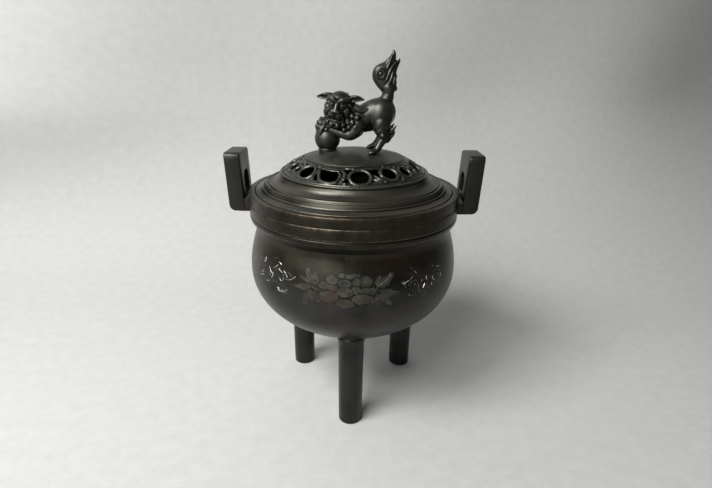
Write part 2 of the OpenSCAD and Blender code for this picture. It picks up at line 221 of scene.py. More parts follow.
def bronze(name, dark, light, warm, olive, rubbed_and_highlight, roughness, grain, mottle=48,
           grey_sheen_below=None, painted_shade_above=None):
    """Patinated bronze: cloudy patina, rubbed high spots and painted highlights, painted shade with dirt
    in the hollows, fine grain.

    dark and light are the patina's two tones, warm and olive its brown and green patches.
    Below the lower of the two heights, in metres, the colour is greyed as a painted reflection of
    the pale room, and above the upper one it is darkened as painted shade.
    The attribute is above nothing where metal is rubbed, partly laid as painted highlight lines,
    and below it where painted shade with dirt lies."""
    def draw(paint):
        place = paint.add("TexCoord", "Object")

        def clouds(scale, detail, ripple=0.0):
            return paint.noise(place, scale, detail, 0.6, ripple)

        mottling = clouds(mottle, 6)
        tone = paint.ramp(mottling, (0.36, dark), (0.68, light))
        tone = paint.blend(paint.spread(clouds(26, 3, 0.4), 0.47, 0.66), tone, warm)
        tone = paint.blend(paint.spread(clouds(37, 3, 1.5), 0.52, 0.72), tone, olive)
        # Painted light by height: greyed low down as a painted reflection, darkened high up as painted
        # shade.
        if grey_sheen_below:
            height = paint.add("SeparateXYZ", "Z", {"Vector": place})
            tone = paint.add("HueSaturation", "Color", {
                "Saturation": paint.spread(height, grey_sheen_below - GREY_SHEEN_FADE, grey_sheen_below, 0.3),
                "Value": paint.spread(height, painted_shade_above, painted_shade_above + PAINTED_SHADE_FADE, 1.0, 0.72),
                "Color": tone})
        # The attribute holds rubbed metal and painted highlight lines above nothing, and painted shade
        # with dirt below it.
        wear_and_painted_light = paint.add("Attribute", "Fac", attribute_name="wear_and_painted_light")
        broken = paint.add("Math", "Value", {0: clouds(380, 4), 1: 3.2, 2: -1.05},
                           operation="MULTIPLY_ADD")
        tone = paint.blend(paint.product(wear_and_painted_light, broken, True), tone, rubbed_and_highlight)
        tone = paint.blend(paint.product(wear_and_painted_light, -1.4, True), tone, [c * 0.3 for c in dark])
        return {"Base Color": tone,
                "Roughness": paint.spread(mottling, 0.3, 0.7, roughness - 0.06, roughness + 0.08),
                "Normal": paint.bump(clouds(1300, 5), grain, 0.0002)}

    return new_material(name, {"Metallic": 0.8, "Specular IOR Level": 0.3}, draw)


# The bowl's colour is greyed under 105 mm as a painted reflection of the pale room, and darkened from 111
# mm up as painted shade on its neck and rim.
bowl_bronze = bronze("bowl_bronze", (0.017, 0.015, 0.011), (0.044, 0.040, 0.027),
                     (0.048, 0.031, 0.022), (0.038, 0.038, 0.024), (0.15, 0.115, 0.075), 0.34, 0.12,
                     grey_sheen_below=0.105, painted_shade_above=0.111)
leg_bronze = bronze("leg_bronze", (0.022, 0.022, 0.021), (0.040, 0.040, 0.0385),
                    (0.036, 0.034, 0.031), (0.034, 0.036, 0.033), (0.085, 0.08, 0.07), 0.33, 0.2)
handle_bronze = bronze("handle_bronze", (0.017, 0.017, 0.016), (0.034, 0.034, 0.031),
                       (0.030, 0.029, 0.026), (0.029, 0.031, 0.027), (0.080, 0.078, 0.065),
                       0.35, 0.25)
black_bronze = bronze("black_bronze", (0.012, 0.012, 0.0115), (0.021, 0.021, 0.020),
                      (0.020, 0.019, 0.017), (0.019, 0.021, 0.018), (0.080, 0.078, 0.065),
                      0.35, 0.25)
lid_bronze = bronze("lid_bronze", (0.036, 0.036, 0.031), (0.080, 0.080, 0.068),
                    (0.080, 0.070, 0.052), (0.068, 0.075, 0.055), (0.125, 0.110, 0.074), 0.33, 0.2)
crown_bronze = bronze("crown_bronze", (0.033, 0.034, 0.028), (0.110, 0.108, 0.092),
                      (0.085, 0.076, 0.060), (0.100, 0.106, 0.082), (0.16, 0.15, 0.11),
                      0.43, 0.6, mottle=110)
openwork_bronze = bronze("openwork_bronze", (0.026, 0.027, 0.024), (0.054, 0.055, 0.049),
                         (0.043, 0.041, 0.034), (0.043, 0.048, 0.039), (0.16, 0.16, 0.135),
                         0.28, 0.2)
finial_bronze = bronze("finial_bronze", (0.027, 0.028, 0.025), (0.053, 0.055, 0.049),
                       (0.045, 0.043, 0.036), (0.043, 0.048, 0.039), (0.11, 0.11, 0.092),
                       0.33, 0.2)
rivet_bronze = bronze("rivet_bronze", (0.06, 0.05, 0.03), (0.10, 0.085, 0.05),
                      (0.08, 0.06, 0.035), (0.07, 0.065, 0.04), (0.2, 0.17, 0.1), 0.45, 0.3)
for rivet in ("leg_rivets", "handle_rivets", "finial_rivets"):
    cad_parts[rivet].data.materials.clear()
    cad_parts[rivet].data.materials.append(rivet_bronze)


# ---------------------------------------------------------------- bowl

BELLY_R, BELLY_Z, BOTTOM_Z = 60.1, 86.6, 45.6
RIM_R, RIM_Z = 59.0, 131.0
WALL = 3.0
SEAT_R, SEAT_Z, THROAT_R = 55.75, 128.5, 52.6


def belly_curve(inset, step=3):
    """Lower half of the bowl, from the middle of its underside to its widest point."""
    radius, drop = BELLY_R - inset, BELLY_Z - BOTTOM_Z - inset
    power = 2 / 2.09
    return [(radius * math.sin(math.radians(a)) ** power,
             BELLY_Z - drop * math.cos(math.radians(a)) ** power if a < 90 else BELLY_Z)
            for a in range(0, 91, step)]


shoulder = smooth_line([
    (BELLY_R, BELLY_Z), (BELLY_R - 0.3, BELLY_Z + 5), (BELLY_R - 1, BELLY_Z + 9.8),
    (BELLY_R - 2, BELLY_Z + 14.6), (BELLY_R - 3.4, BELLY_Z + 19.4),
    (BELLY_R - 4.15, BELLY_Z + 22.4), (BELLY_R - 4.4, BELLY_Z + 25.2)], 5)
outside = belly_curve(0) + shoulder[1:]


def bowl_radius(z):
    """Outer radius of the bowl at a height."""
    for (r0, z0), (r1, z1) in zip(outside, outside[1:]):
        if z0 <= z <= z1:
            return r0 + (r1 - r0) * (z - z0) / (z1 - z0)
    return outside[-1][0] if z > BELLY_Z else 0.0


def bowl_underside(r):
    """Height of the bowl's outer face under its widest point, at a radius."""
    for (r0, z0), (r1, z1) in zip(outside, outside[1:]):
        if r0 <= r <= r1:
            return z0 + (z1 - z0) * (r - r0) / (r1 - r0)
    return BELLY_Z


def groove(r, z, depth=0.4, half=0.34):
    """A softly rounded incised line in an upright wall, from below to above."""
    return [(r, z - half - 0.12), (r - 0.06, z - half), (r - depth * 0.8, z - 0.16),
            (r - depth, z), (r - depth * 0.8, z + 0.16), (r - 0.06, z + half),
            (r, z + half + 0.12)]


rim = (
    [(RIM_R - 3.1, RIM_Z - 18.35), (RIM_R - 2.85, RIM_Z - 18.2)]
    + arc((RIM_R - 4.6, RIM_Z - 13.1), 4.6, -58, 0, 10)
    + groove(RIM_R, RIM_Z - 12.2)
    + groove(RIM_R, RIM_Z - 5.5, 0.3)
    + arc((RIM_R - 0.5, RIM_Z - 0.5), 0.5, 0, 90, 4)
)
inside = (
    [(SEAT_R + 0.2, RIM_Z), (SEAT_R, RIM_Z - 0.2), (SEAT_R, SEAT_Z), (THROAT_R + 0.2, SEAT_Z),
     (THROAT_R, SEAT_Z - 0.2)]
    + smooth_line([(THROAT_R, BELLY_Z + 22.4), (THROAT_R + 1.7, BELLY_Z + 17.6),
                   (BELLY_R - WALL - 1, BELLY_Z + 9.8)], 5)
    + belly_curve(WALL)[::-1]
)
# Rubbed edges of the rim, laid as its painted highlight lines; painted shade with dirt in its grooves,
# under its lower edge and in the seat under the lid.
rim_rub_and_highlights = [(RIM_R, RIM_Z, 0.8), (SEAT_R, RIM_Z, 0.5), (RIM_R - 0.1, RIM_Z - 5.85, 0.26),
            (RIM_R, RIM_Z - 11.6, 0.2)]
rim_shade_and_dirt = [(RIM_R - 0.35, RIM_Z - 5.3, 0.25), (RIM_R - 0.4, RIM_Z - 12.2, 0.4),
             (RIM_R - 3.1, RIM_Z - 18.3, 1.2), (SEAT_R, RIM_Z - 1.2, 1.0)]
finish_piece("bowl_casting", turned(outside + rim + inside, rim_rub_and_highlights, 240, shade_and_dirt=rim_shade_and_dirt),
             "vessel", ["bowl"], bowl_bronze, 50)


# ---------------------------------------------------------------- legs

LEG_CIRCLE = 38.4
FOOT_R, LEG_TOP_R = 6.8, 7.2
for leg_name, angle in (("leg_front", -90), ("leg_rear_left", 150), ("leg_rear_right", 30)):
    shaft = ([(0, 0), (FOOT_R - 0.7, 0)] + arc((FOOT_R - 0.6, 0.6), 0.6, -80, 0, 5)
             + [(FOOT_R + 0.4 * z / 54, z) for z in range(4, 54, 6)]
             + [(LEG_TOP_R, 54.3)] + arc((LEG_TOP_R + 0.1, 55), 0.5, -70, 0, 4)
             + arc((LEG_TOP_R + 0.1, 57), 0.5, 0, 80, 4)
             + [(LEG_TOP_R, z) for z in (58, 59, 60, 61)] + [(0, 61)])
    bm = turned(shaft, [(FOOT_R, 0.2, 1.2)], 64)
    where = math.radians(angle)
    bmesh.ops.translate(bm, vec=(LEG_CIRCLE * math.cos(where), LEG_CIRCLE * math.sin(where), 0),
                        verts=bm.verts)
    # What stands up into the bowl is pressed into a thin disc inside its wall.
    for v in bm.verts:
        inside_wall = bowl_underside(math.hypot(v.co.x, v.co.y)) + 0.5
        v.co.z = min(v.co.z, inside_wall + 0.04 * (v.co.z - inside_wall))
    finish_piece(leg_name + "_turned", bm, "vessel", [leg_name], leg_bronze)


# ---------------------------------------------------------------- handles

HANDLE_W, HANDLE_T = 22.0, 8.7
HANDLE_IN, HANDLE_LOW, HANDLE_TOP = 60.6, 118.7, 151.2
SLOT_LOW, SLOT_HIGH, SLOT_R = 125.6, 140.2, 4.5
LEAN = math.tan(math.radians(2.4))
HANDLE_CORNER = 2.0
RAY_STEP, RAY_LENGTH = 0.01, 40


def ray_to_slab(direction, centre):
    """Where a ray from a centre meets the handle's rounded outline."""
    half = HANDLE_W / 2
    for i in range(1, int(RAY_LENGTH / RAY_STEP)):
        y = centre[0] + direction[0] * i * RAY_STEP
        z = centre[1] + direction[1] * i * RAY_STEP
        over_y = abs(y) - (half - HANDLE_CORNER)
        over_z = z - (HANDLE_TOP - HANDLE_CORNER)
        outside_corner = over_y > 0 and over_z > 0 and math.hypot(over_y, over_z) > HANDLE_CORNER
        if abs(y) > half or z > HANDLE_TOP or z < HANDLE_LOW or outside_corner:
            return (y, z)


def ray_to_slot(direction, centre):
    """Where a ray from a centre meets the slot with round ends."""
    for i in range(1, int(RAY_LENGTH / RAY_STEP)):
        y = centre[0] + direction[0] * i * RAY_STEP
        z = centre[1] + direction[1] * i * RAY_STEP
        nearest = min(max(z, SLOT_LOW + SLOT_R), SLOT_HIGH - SLOT_R)
        if math.hypot(y, z - nearest) > SLOT_R:
            return (y, z)


def closed_loop(bm, points, x):
    """A loop of edges through (y, z) points at a distance x from the axis."""
    ring = [bm.verts.new((x, y, z)) for y, z in points]
    return [bm.edges.new(pair) for pair in zip(ring, ring[1:] + ring[:1])]


for side, node in ((1, "handle_right"), (-1, "handle_left")):
    bm = bmesh.new()
    rub_and_shade = bm.verts.layers.float.new("wear_and_painted_light")
    middle = (0.0, (SLOT_LOW + SLOT_HIGH) / 2)
    aims = [(math.cos(a), math.sin(a)) for a in (2 * math.pi * i / 96 for i in range(96))]
    rims = (closed_loop(bm, [ray_to_slot(a, middle) for a in aims], HANDLE_IN)
            + closed_loop(bm, [ray_to_slab(a, middle) for a in aims], HANDLE_IN))
    bmesh.ops.bridge_loops(bm, edges=rims)
    slab = bmesh.ops.extrude_face_region(bm, geom=bm.faces[:])["geom"]
    bmesh.ops.translate(bm, vec=(HANDLE_T, 0, 0),
                        verts=[v for v in slab if isinstance(v, bmesh.types.BMVert)])
    bmesh.ops.recalc_face_normals(bm, faces=bm.faces)
    corners = [e for e in bm.edges if e.calc_face_angle(0) > math.radians(40)]
    bmesh.ops.bevel(bm, geom=corners, offset=0.7, segments=3, profile=0.5, affect="EDGES",
                    material=-1)
    foot_low = [(64.0, HANDLE_LOW + 0.05), (RIM_R - 1.4, HANDLE_LOW + 0.05)]
    foot_top = [(RIM_R - 1.4, 124.9), (HANDLE_IN - 0.9, 125.2), (HANDLE_IN - 0.1, 125.7),
                (HANDLE_IN + 0.2, 126.8), (64.0, 126.8)]
    outline = [bm.verts.new((x, -HANDLE_W / 2 + 0.3, z)) for x, z in foot_low + foot_top]
    foot = bmesh.ops.extrude_face_region(bm, geom=[bm.faces.new(outline)])["geom"]
    bmesh.ops.translate(bm, vec=(0, HANDLE_W - 0.6, 0),
                        verts=[v for v in foot if isinstance(v, bmesh.types.BMVert)])
    for v in bm.verts:
        high = (v.co.z - HANDLE_LOW) / (HANDLE_TOP - HANDLE_LOW)
        outward = (v.co.x - HANDLE_IN) / HANDLE_T
        if outward > 0.5 and v.co.z < HANDLE_LOW + 3:
            v.co.x -= (HANDLE_LOW + 3 - v.co.z) ** 2 * 0.28
        v.co.x += LEAN * (v.co.z - HANDLE_LOW) * min(1, max(0, outward + 1))
        v[rub_and_shade] = max(0, high - 0.93) * 6
    if side < 0:
        bmesh.ops.rotate(bm, cent=(0, 0, 0), matrix=Matrix.Rotation(math.pi, 3, "Z"),
                         verts=bm.verts)
    finish_piece(node + "_slab", bm, "vessel", [node], handle_bronze, 30)


# ---------------------------------------------------------------- lid

LID_R, FLANGE_Z = 55.4, 128.55
RIDGES = [(51.0, 132.6), (49.0, 134.7), (46.9, 135.0)]
RIDGE_R = 0.5
BEAD = (40.6, 140.3)
BAND_LOW, BAND_HIGH = (39.4, 140.5), (27.6, 147.9)
BAND_BULGE = 0.75

ridge_line = (
    arc(RIDGES[0], RIDGE_R, 10, 140, 8) + [(50.3, 132.7), (49.95, 133.1)]
    + arc(RIDGES[1], RIDGE_R, -10, 150, 8) + [(48.2, 134.62), (47.7, 134.68)]
    + arc(RIDGES[2], RIDGE_R, 30, 120, 8)
)
lid_profile = (
    [(LID_R, FLANGE_Z), (LID_R, RIM_Z - 0.2)] + arc((LID_R - 0.4, RIM_Z - 0.2), 0.4, 10, 80, 3)
    + smooth_line([(LID_R - 0.6, RIM_Z + 0.25), (53.6, 131.55), (51.9, 132.2)], 3)
    + ridge_line
    + smooth_line([(46.2, 135.4), (44.8, 135.95), (43.3, 136.8), (42.2, 138.0), (41.6, 139.3)], 4)
    + arc(BEAD, 0.85, -28, 125, 10)
    + [BAND_LOW, (38.3, 138.8), (39.6, 136.9), (41.4, 135.5), (43.6, 133.9), (46, 132.5),
       (48.6, 131.2), (50.2, 130.2), (50.2, 125.8), (50.4, 125.6), (51.8, 125.6), (52.2, 126),
       (52.2, FLANGE_Z)]
)
# Rubbed ridge tops, lid edge and bead, laid as their painted highlight lines; painted shade with dirt
# between the ridges, under the bead and on the flange in the bowl's seat.
lid_rub_and_highlights = [(x + 0.2, z + 0.46, 0.36) for x, z in RIDGES]
lid_rub_and_highlights += [(LID_R - 0.2, RIM_Z + 0.15, 0.5), (BEAD[0] + 0.3, BEAD[1] + 0.8, 0.4)]
lid_shade_and_dirt = [(50.2, 132.9, 0.7), (47.9, 134.65, 0.7), (51.9, 132.2, 0.5), (41.4, 139.9, 0.6),
             (46.1, 135.45, 0.4), (LID_R, RIM_Z - 1.2, 1.1)]
finish_piece("lid_casting", turned(lid_profile, lid_rub_and_highlights, 240, shade_and_dirt=lid_shade_and_dirt), "lid",
             ["lid_shell"], lid_bronze, 50)

CROWN_R, CROWN_Z, CROWN_RISE = 27.9, 148.5, 4.0
CROWN_SPHERE = (CROWN_R ** 2 + CROWN_RISE ** 2) / (2 * CROWN_RISE)


def crown_top(d):
    """Height of the crown's upper face at a distance from the axis."""
    return CROWN_Z + CROWN_RISE - CROWN_SPHERE + math.sqrt(CROWN_SPHERE ** 2 - d ** 2)


crown_profile = (
    [(d, crown_top(d)) for d in range(0, 27, 2)]
    + [(27.3, crown_top(27.3)), (CROWN_R, CROWN_Z - 0.15), (CROWN_R + 0.02, 148.1),
       (27.7, 147.9), (26.4, 147.9), (26.4, 146.9)]
    + [(d, crown_top(d) - 1.8) for d in range(24, -1, -4)]
)
# The crown's edge is rubbed, and painted shade lies just under it.
finish_piece("crown_disc", turned(crown_profile, [(CROWN_R - 0.1, CROWN_Z, 0.2)], 180,
                                  shade_and_dirt=[(CROWN_R, CROWN_Z - 0.6, 0.6)]),
             "lid", ["lid_crown"], crown_bronze, 60)


# ---------------------------------------------------------------- modelling tools for the finial

STILL = Matrix()


def add_wax(bm, part):
    """Sets one lot of wax down in another. Small lots are quick to shape on their own."""
    mesh = bpy.data.meshes.new("wax")
    part.to_mesh(mesh)
    part.free()
    bm.from_mesh(mesh)
    bpy.data.meshes.remove(mesh)


def lump(bm, centre, radii, turn=(0, 0, 0), detail=3, after=STILL):
    """An ellipsoid lump of wax. after moves the finished lump."""
    if not hasattr(radii, "__len__"):
        radii = (radii, radii, radii)
    part = bmesh.new()
    bmesh.ops.create_icosphere(part, subdivisions=detail, radius=1)
    spin = Matrix.Rotation(math.radians(turn[2]), 4, "Z") @ Matrix.Rotation(
        math.radians(turn[1]), 4, "Y") @ Matrix.Rotation(math.radians(turn[0]), 4, "X")
    shape = Matrix.Translation(centre) @ spin @ Matrix.Diagonal((*radii, 1))
    bmesh.ops.transform(part, matrix=after @ shape, verts=part.verts)
    add_wax(bm, part)


def limb(bm, rows, sides=14, steps=4, flat=1.0, flat_axis=(0, 1, 0), after=STILL):
    """Rolls wax along a curve. Each row is (x, y, z, radius); flat squeezes it along an axis."""
    line = smooth_line(rows, steps)
    points = [Vector(p[:3]) for p in line]
    radii = [max(0.12, p[3]) for p in line]
    middle = sum(points, Vector()) / len(points)
    after = (after @ Matrix.Translation(middle) @ Matrix.Scale(flat, 4, Vector(flat_axis))
             @ Matrix.Translation(-middle))
    part = bmesh.new()
    bmesh.ops.create_circle(part, cap_ends=False, segments=sides, radius=1)
    ring = part.edges[:]
    aim = (points[1] - points[0]).normalized()
    upright = aim.to_track_quat("Z", "Y").to_matrix().to_4x4()
    bmesh.ops.transform(part, verts=part.verts, matrix=Matrix.Translation(points[0]) @ upright
                        @ Matrix.Scale(radii[0], 4))
    last, last_radius = points[0], radii[0]
    for i in range(1, len(points)):
        onward = points[min(i + 1, len(points) - 1)] - points[i - 1]
        if onward.length < 1e-6:
            continue
        turn = aim.rotation_difference(onward.normalized())
        moved = bmesh.ops.extrude_edge_only(part, edges=ring)["geom"]
        verts = [g for g in moved if isinstance(g, bmesh.types.BMVert)]
        ring = [g for g in moved if isinstance(g, bmesh.types.BMEdge)]
        step = (Matrix.Translation(points[i]) @ turn.to_matrix().to_4x4()
                @ Matrix.Scale(radii[i] / last_radius, 4) @ Matrix.Translation(-last))
        bmesh.ops.transform(part, matrix=step, verts=verts)
        aim, last, last_radius = onward.normalized(), points[i], radii[i]
    bmesh.ops.holes_fill(part, edges=[e for e in part.edges if e.is_boundary])
    bmesh.ops.transform(part, matrix=after, verts=part.verts)
    add_wax(bm, part)
    lump(bm, points[0], radii[0] * 0.98, detail=2, after=after)
    lump(bm, points[-1], radii[-1] * 0.98, detail=2, after=after)


def curl(bm, centre, facing, radius, turns=1.6, hand=1, thick=0.3, start=0):
    """A snail curl of wax on a small mound, facing outwards."""
    steps = int(turns * 9)
    rows = []
    for i in range(steps + 1):
        t = i / steps
        a = math.radians(start) + hand * 2 * math.pi * turns * t
        reach = radius * (0.86 - 0.78 * t)
        rows.append((reach * math.cos(a), reach * math.sin(a), radius * (0.12 + 0.42 * t),
                     radius * thick * (0.72 + 0.4 * t)))
    stand = (Matrix.Translation(centre)
             @ Vector(facing).normalized().to_track_quat("Z", "Y").to_matrix().to_4x4())
    limb(bm, rows, sides=8, steps=1, after=stand)
    lump(bm, (0, 0, -radius * 0.12), (radius * 0.98, radius * 0.98, radius * 0.5), detail=2,
         after=stand)


def flame(bm, rows, flat=0.55):
    """A pointed, curved tuft of fur."""
    limb(bm, rows, sides=12, steps=5, flat=flat)


def melt(bm, grain, rounds):
    """Melts overlapping lumps into one skin and softens it."""
    mesh = bpy.data.meshes.new("wax")
    bm.to_mesh(mesh)
    bm.free()
    wax = bpy.data.objects.new("wax", mesh)
    scene.collection.objects.link(wax)
    fuse = wax.modifiers.new("fuse", "REMESH")
    fuse.mode = "VOXEL"
    fuse.voxel_size = grain
    soften = wax.modifiers.new("soften", "SMOOTH")
    soften.factor = 0.5
    soften.iterations = rounds
    bpy.context.view_layer.update()
    skin = wax.evaluated_get(bpy.context.evaluated_depsgraph_get())
    out = bmesh.new()
    out.from_mesh(skin.to_mesh())
    skin.to_mesh_clear()
    bpy.data.objects.remove(wax)
    bpy.data.meshes.remove(mesh)
    return out


# ---------------------------------------------------------------- ball under the forepaws

BALL = (-14.9, 0, 158.1)
BALL_R = 7.05
COLLAR_R, COLLAR_LOW, COLLAR_TOP = 5.1, -8.2, -4.9
ball_line = [(0, COLLAR_LOW), (COLLAR_R - 0.1, COLLAR_LOW), (COLLAR_R, COLLAR_TOP - 0.3),
             (COLLAR_R - 0.2, COLLAR_TOP)]
ball_line += [(BALL_R * math.cos(math.radians(a)), BALL_R * math.sin(math.radians(a)))
              for a in range(-42, 90, 4)]
# Painted shade where the ball sits in its collar.
bm = turned([*ball_line, (0, BALL_R)], (), 96, shade_and_dirt=[(COLLAR_R, COLLAR_TOP + 0.1, 0.5)])
bmesh.ops.translate(bm, vec=BALL, verts=bm.verts)
finish_piece("finial_ball", bm, "lid", ["lion_ball"], finial_bronze)


# ---------------------------------------------------------------- lion

bm = bmesh.new()

# Trunk, shoulder and rump.
limb(bm, [(-5, -0.8, 168.6, 5.4), (0.5, -0.6, 168.0, 6.2), (6.4, 0, 170.4, 6.8),
          (11.2, 0, 172.4, 7.2), (14.8, 0, 172.8, 7.3)], 28)
limb(bm, [(2.6, 0, 165.4, 4.2), (8, 0, 166.6, 4.5), (12.4, 0, 168, 4.8)], 24)
lump(bm, (14.6, 0, 172.2), (7.5, 7.4, 8.2), detail=4)
lump(bm, (0.8, -3.4, 167.0), (4.8, 3.8, 5.8), (0, -24, 0), 4)
lump(bm, (0.8, 3.4, 167.0), (4.8, 3.8, 5.8), (0, -24, 0), 4)
limb(bm, [(14.8, 0, 175.8, 4.6), (16.9, 0, 179.2, 3.6), (17.4, 0, 181.2, 3.35),
          (17.4, 0, 182.2, 3.2)], 24)
for s, hip, knee in ((-1, (14.6, -4.0, 168.8), (14.1, -5.6, 164)),
                     (1, (14.4, 4.0, 168.8), (13.2, 5.4, 163.6))):
    lump(bm, (hip[0] - 0.6, hip[1], hip[2] + 2.0), (6.6, 4.6, 8.0), (0, 10, 0), 4)
    lump(bm, ((hip[0] + knee[0]) / 2, knee[1], (hip[2] + knee[2]) / 2), (5.0, 3.9, 5.6),
         (0, 6, 0), 4)
for s, dx, dz in ((-1, 0, 0), (1, -0.4, 0.4)):
    limb(bm, [(1.6, s * 3.8, 166.4, 4.6), (-0.6 + dx, s * 4.6, 162.4 + dz, 3.9),
              (-3.0 + dx, s * 4.8, 160.8 + dz, 3.2), (-6.4 + dx, s * 4.5, 161.4 + dz, 2.6)], 24)
bm = melt(bm, 0.42, 14)

# Combed fur on the flanks and behind the elbows.
for s in (-1, 1):
    for x0, z0, x1, z1 in ((-1.6, 175.4, 6.6, 173.6), (-1.6, 172.4, 7.4, 171.2),
                           (-1.0, 169.4, 6.6, 168.4)):
        flame(bm, [(x0, s * 4.8, z0, 1.7), ((x0 + x1) / 2 - 0.6, s * 5.5, (z0 + z1) / 2 - 0.5, 1.6),
                   ((x0 + x1) / 2 + 2.2, s * 5.8, z1 - 0.2, 1.0), (x1, s * 6.0, z1 + 0.8, 0.3)],
              flat=0.9)
    for x0, z0, x1, z1 in ((-2.0, 160.8, 1.4, 165.8), (-0.6, 160.0, 3.2, 165.2),
                           (0.8, 160.2, 5.2, 163.9)):
        flame(bm, [(x0, s * 5.6, z0, 1.2), ((x0 + x1) / 2 + 0.4, s * 6.5, (z0 + z1) / 2, 1.1),
                   (x1, s * 6.0, z1, 0.3)], flat=0.8)

# Forelegs reach forward over the ball.
for s, dx, dz in ((-1, 0, 0), (1, -0.4, 0.4)):
    limb(bm, [(-3.0 + dx, s * 4.8, 160.8 + dz, 3.1), (-7.4 + dx, s * 4.4, 161.6 + dz, 2.55),
              (-11.6 + dx, s * 3.8, 163 + dz, 2.35), (-15.2 + dx, s * 3.0, 164.4 + dz, 2.5)], 20)
    for k in range(4):
        a = -0.5 + k * 0.55
        limb(bm, [(-16.4, s * (1.4 + k * 1.1), 165.2, 1.25),
                  (-18.9 + k * 0.4, s * (1.2 + k * 1.4), 164.2 - k * 0.2, 1.2),
                  (-20.4 + k * 0.6, s * (1.2 + k * 1.5), 161.9 - k * 0.2, 0.85)], 10)

# Curly cuffs at the wrists.
for x, y, z, r, fx, fy, fz in (
        (-16.4, -3.4, 167.0, 1.9, -0.3, -0.8, 0.7), (-18.9, -2.6, 167.0, 1.8, -0.7, -0.6, 0.6),
        (-18.0, -0.6, 168.4, 1.7, -0.3, -0.2, 1), (-20.3, -2.2, 164.9, 1.6, -1, -0.6, 0.2),
        (-13.6, -5.0, 165.8, 1.7, 0, -1, 0.5), (-15.2, -5.0, 163.4, 1.5, -0.3, -1, 0),
        (-18.4, -4.6, 164.6, 1.6, -0.5, -1, 0.2), (-17.0, 2.4, 167.6, 1.8, -0.3, 0.6, 0.8),
        (-19.8, 1.6, 166.4, 1.7, -0.9, 0.5, 0.4), (-18.0, 4.4, 165.0, 1.6, -0.5, 1, 0.2),
        (-14.4, 4.8, 165.8, 1.6, 0, 1, 0.5), (-20.4, 0.2, 163.4, 1.4, -1, 0, -0.1)):
    curl(bm, (x, y, z), (fx, fy, fz), r, hand=1 if y < 0 else -1, start=x * 40)

# Hind legs: haunch, hock, shank, paw with toes, and flame tufts at the hock.
for s, knee, hock, shank, heel, toe in (
        (-1, (14.1, -5.6, 164), (15.7, -6.3, 160.6), (13.9, -7.6, 156.8), (12.2, -8.8, 153.8),
         (8.8, -10.6, 152.4)),
        (1, (13.6, 5.4, 163.6), (15.4, 5.8, 160.2), (13.6, 6, 156.6), (11.6, 6.2, 154),
         (8.2, 6.6, 152.7))):
    limb(bm, [(*knee, 3.9), (*hock, 3.0), (*shank, 2.2), (*heel, 1.9)], 22)
    limb(bm, [(*heel, 1.7), ((heel[0] + toe[0]) / 2, (heel[1] + toe[1]) / 2, toe[2] + 0.5, 1.6),
              (*toe, 1.2)], 14)
    for k in (-1, 0, 1):
        limb(bm, [(toe[0] + 1.4, toe[1] + k * 1.2, toe[2] + 0.4, 0.9),
                  (toe[0] - 0.2, toe[1] + k * 1.35, toe[2] + 0.1, 0.85),
                  (toe[0] - 1.0, toe[1] + k * 1.4, toe[2] - 0.5, 0.5)], 8)
    hx, hy, hz = hock
    for rows in (
            [(hx - 0.4, hy, hz + 2.4, 1.9), (hx + 3.0, hy, hz + 2.2, 1.6),
             (hx + 4.9, hy, hz + 3.6, 1.0), (hx + 6.5, hy, hz + 5.6, 0.3)],
            [(hx - 0.2, hy, hz + 0.2, 1.9), (hx + 2.8, hy, hz - 0.2, 1.5),
             (hx + 4.8, hy, hz + 0.8, 0.95), (hx + 5.9, hy, hz + 2.4, 0.3)],
            [(hx - 0.8, hy + s * -0.4, hz - 2.2, 1.7), (hx + 1.6, hy, hz - 2.6, 1.3),
             (hx + 3.0, hy, hz - 2.0, 0.8), (hx + 4.2, hy, hz - 0.8, 0.3)]):
        flame(bm, rows, flat=0.62)
    curl(bm, (hx - 0.6, hy + s * 2.4, hz + 0.4), (0, s, 0.1), 1.7, hand=-s, start=90)

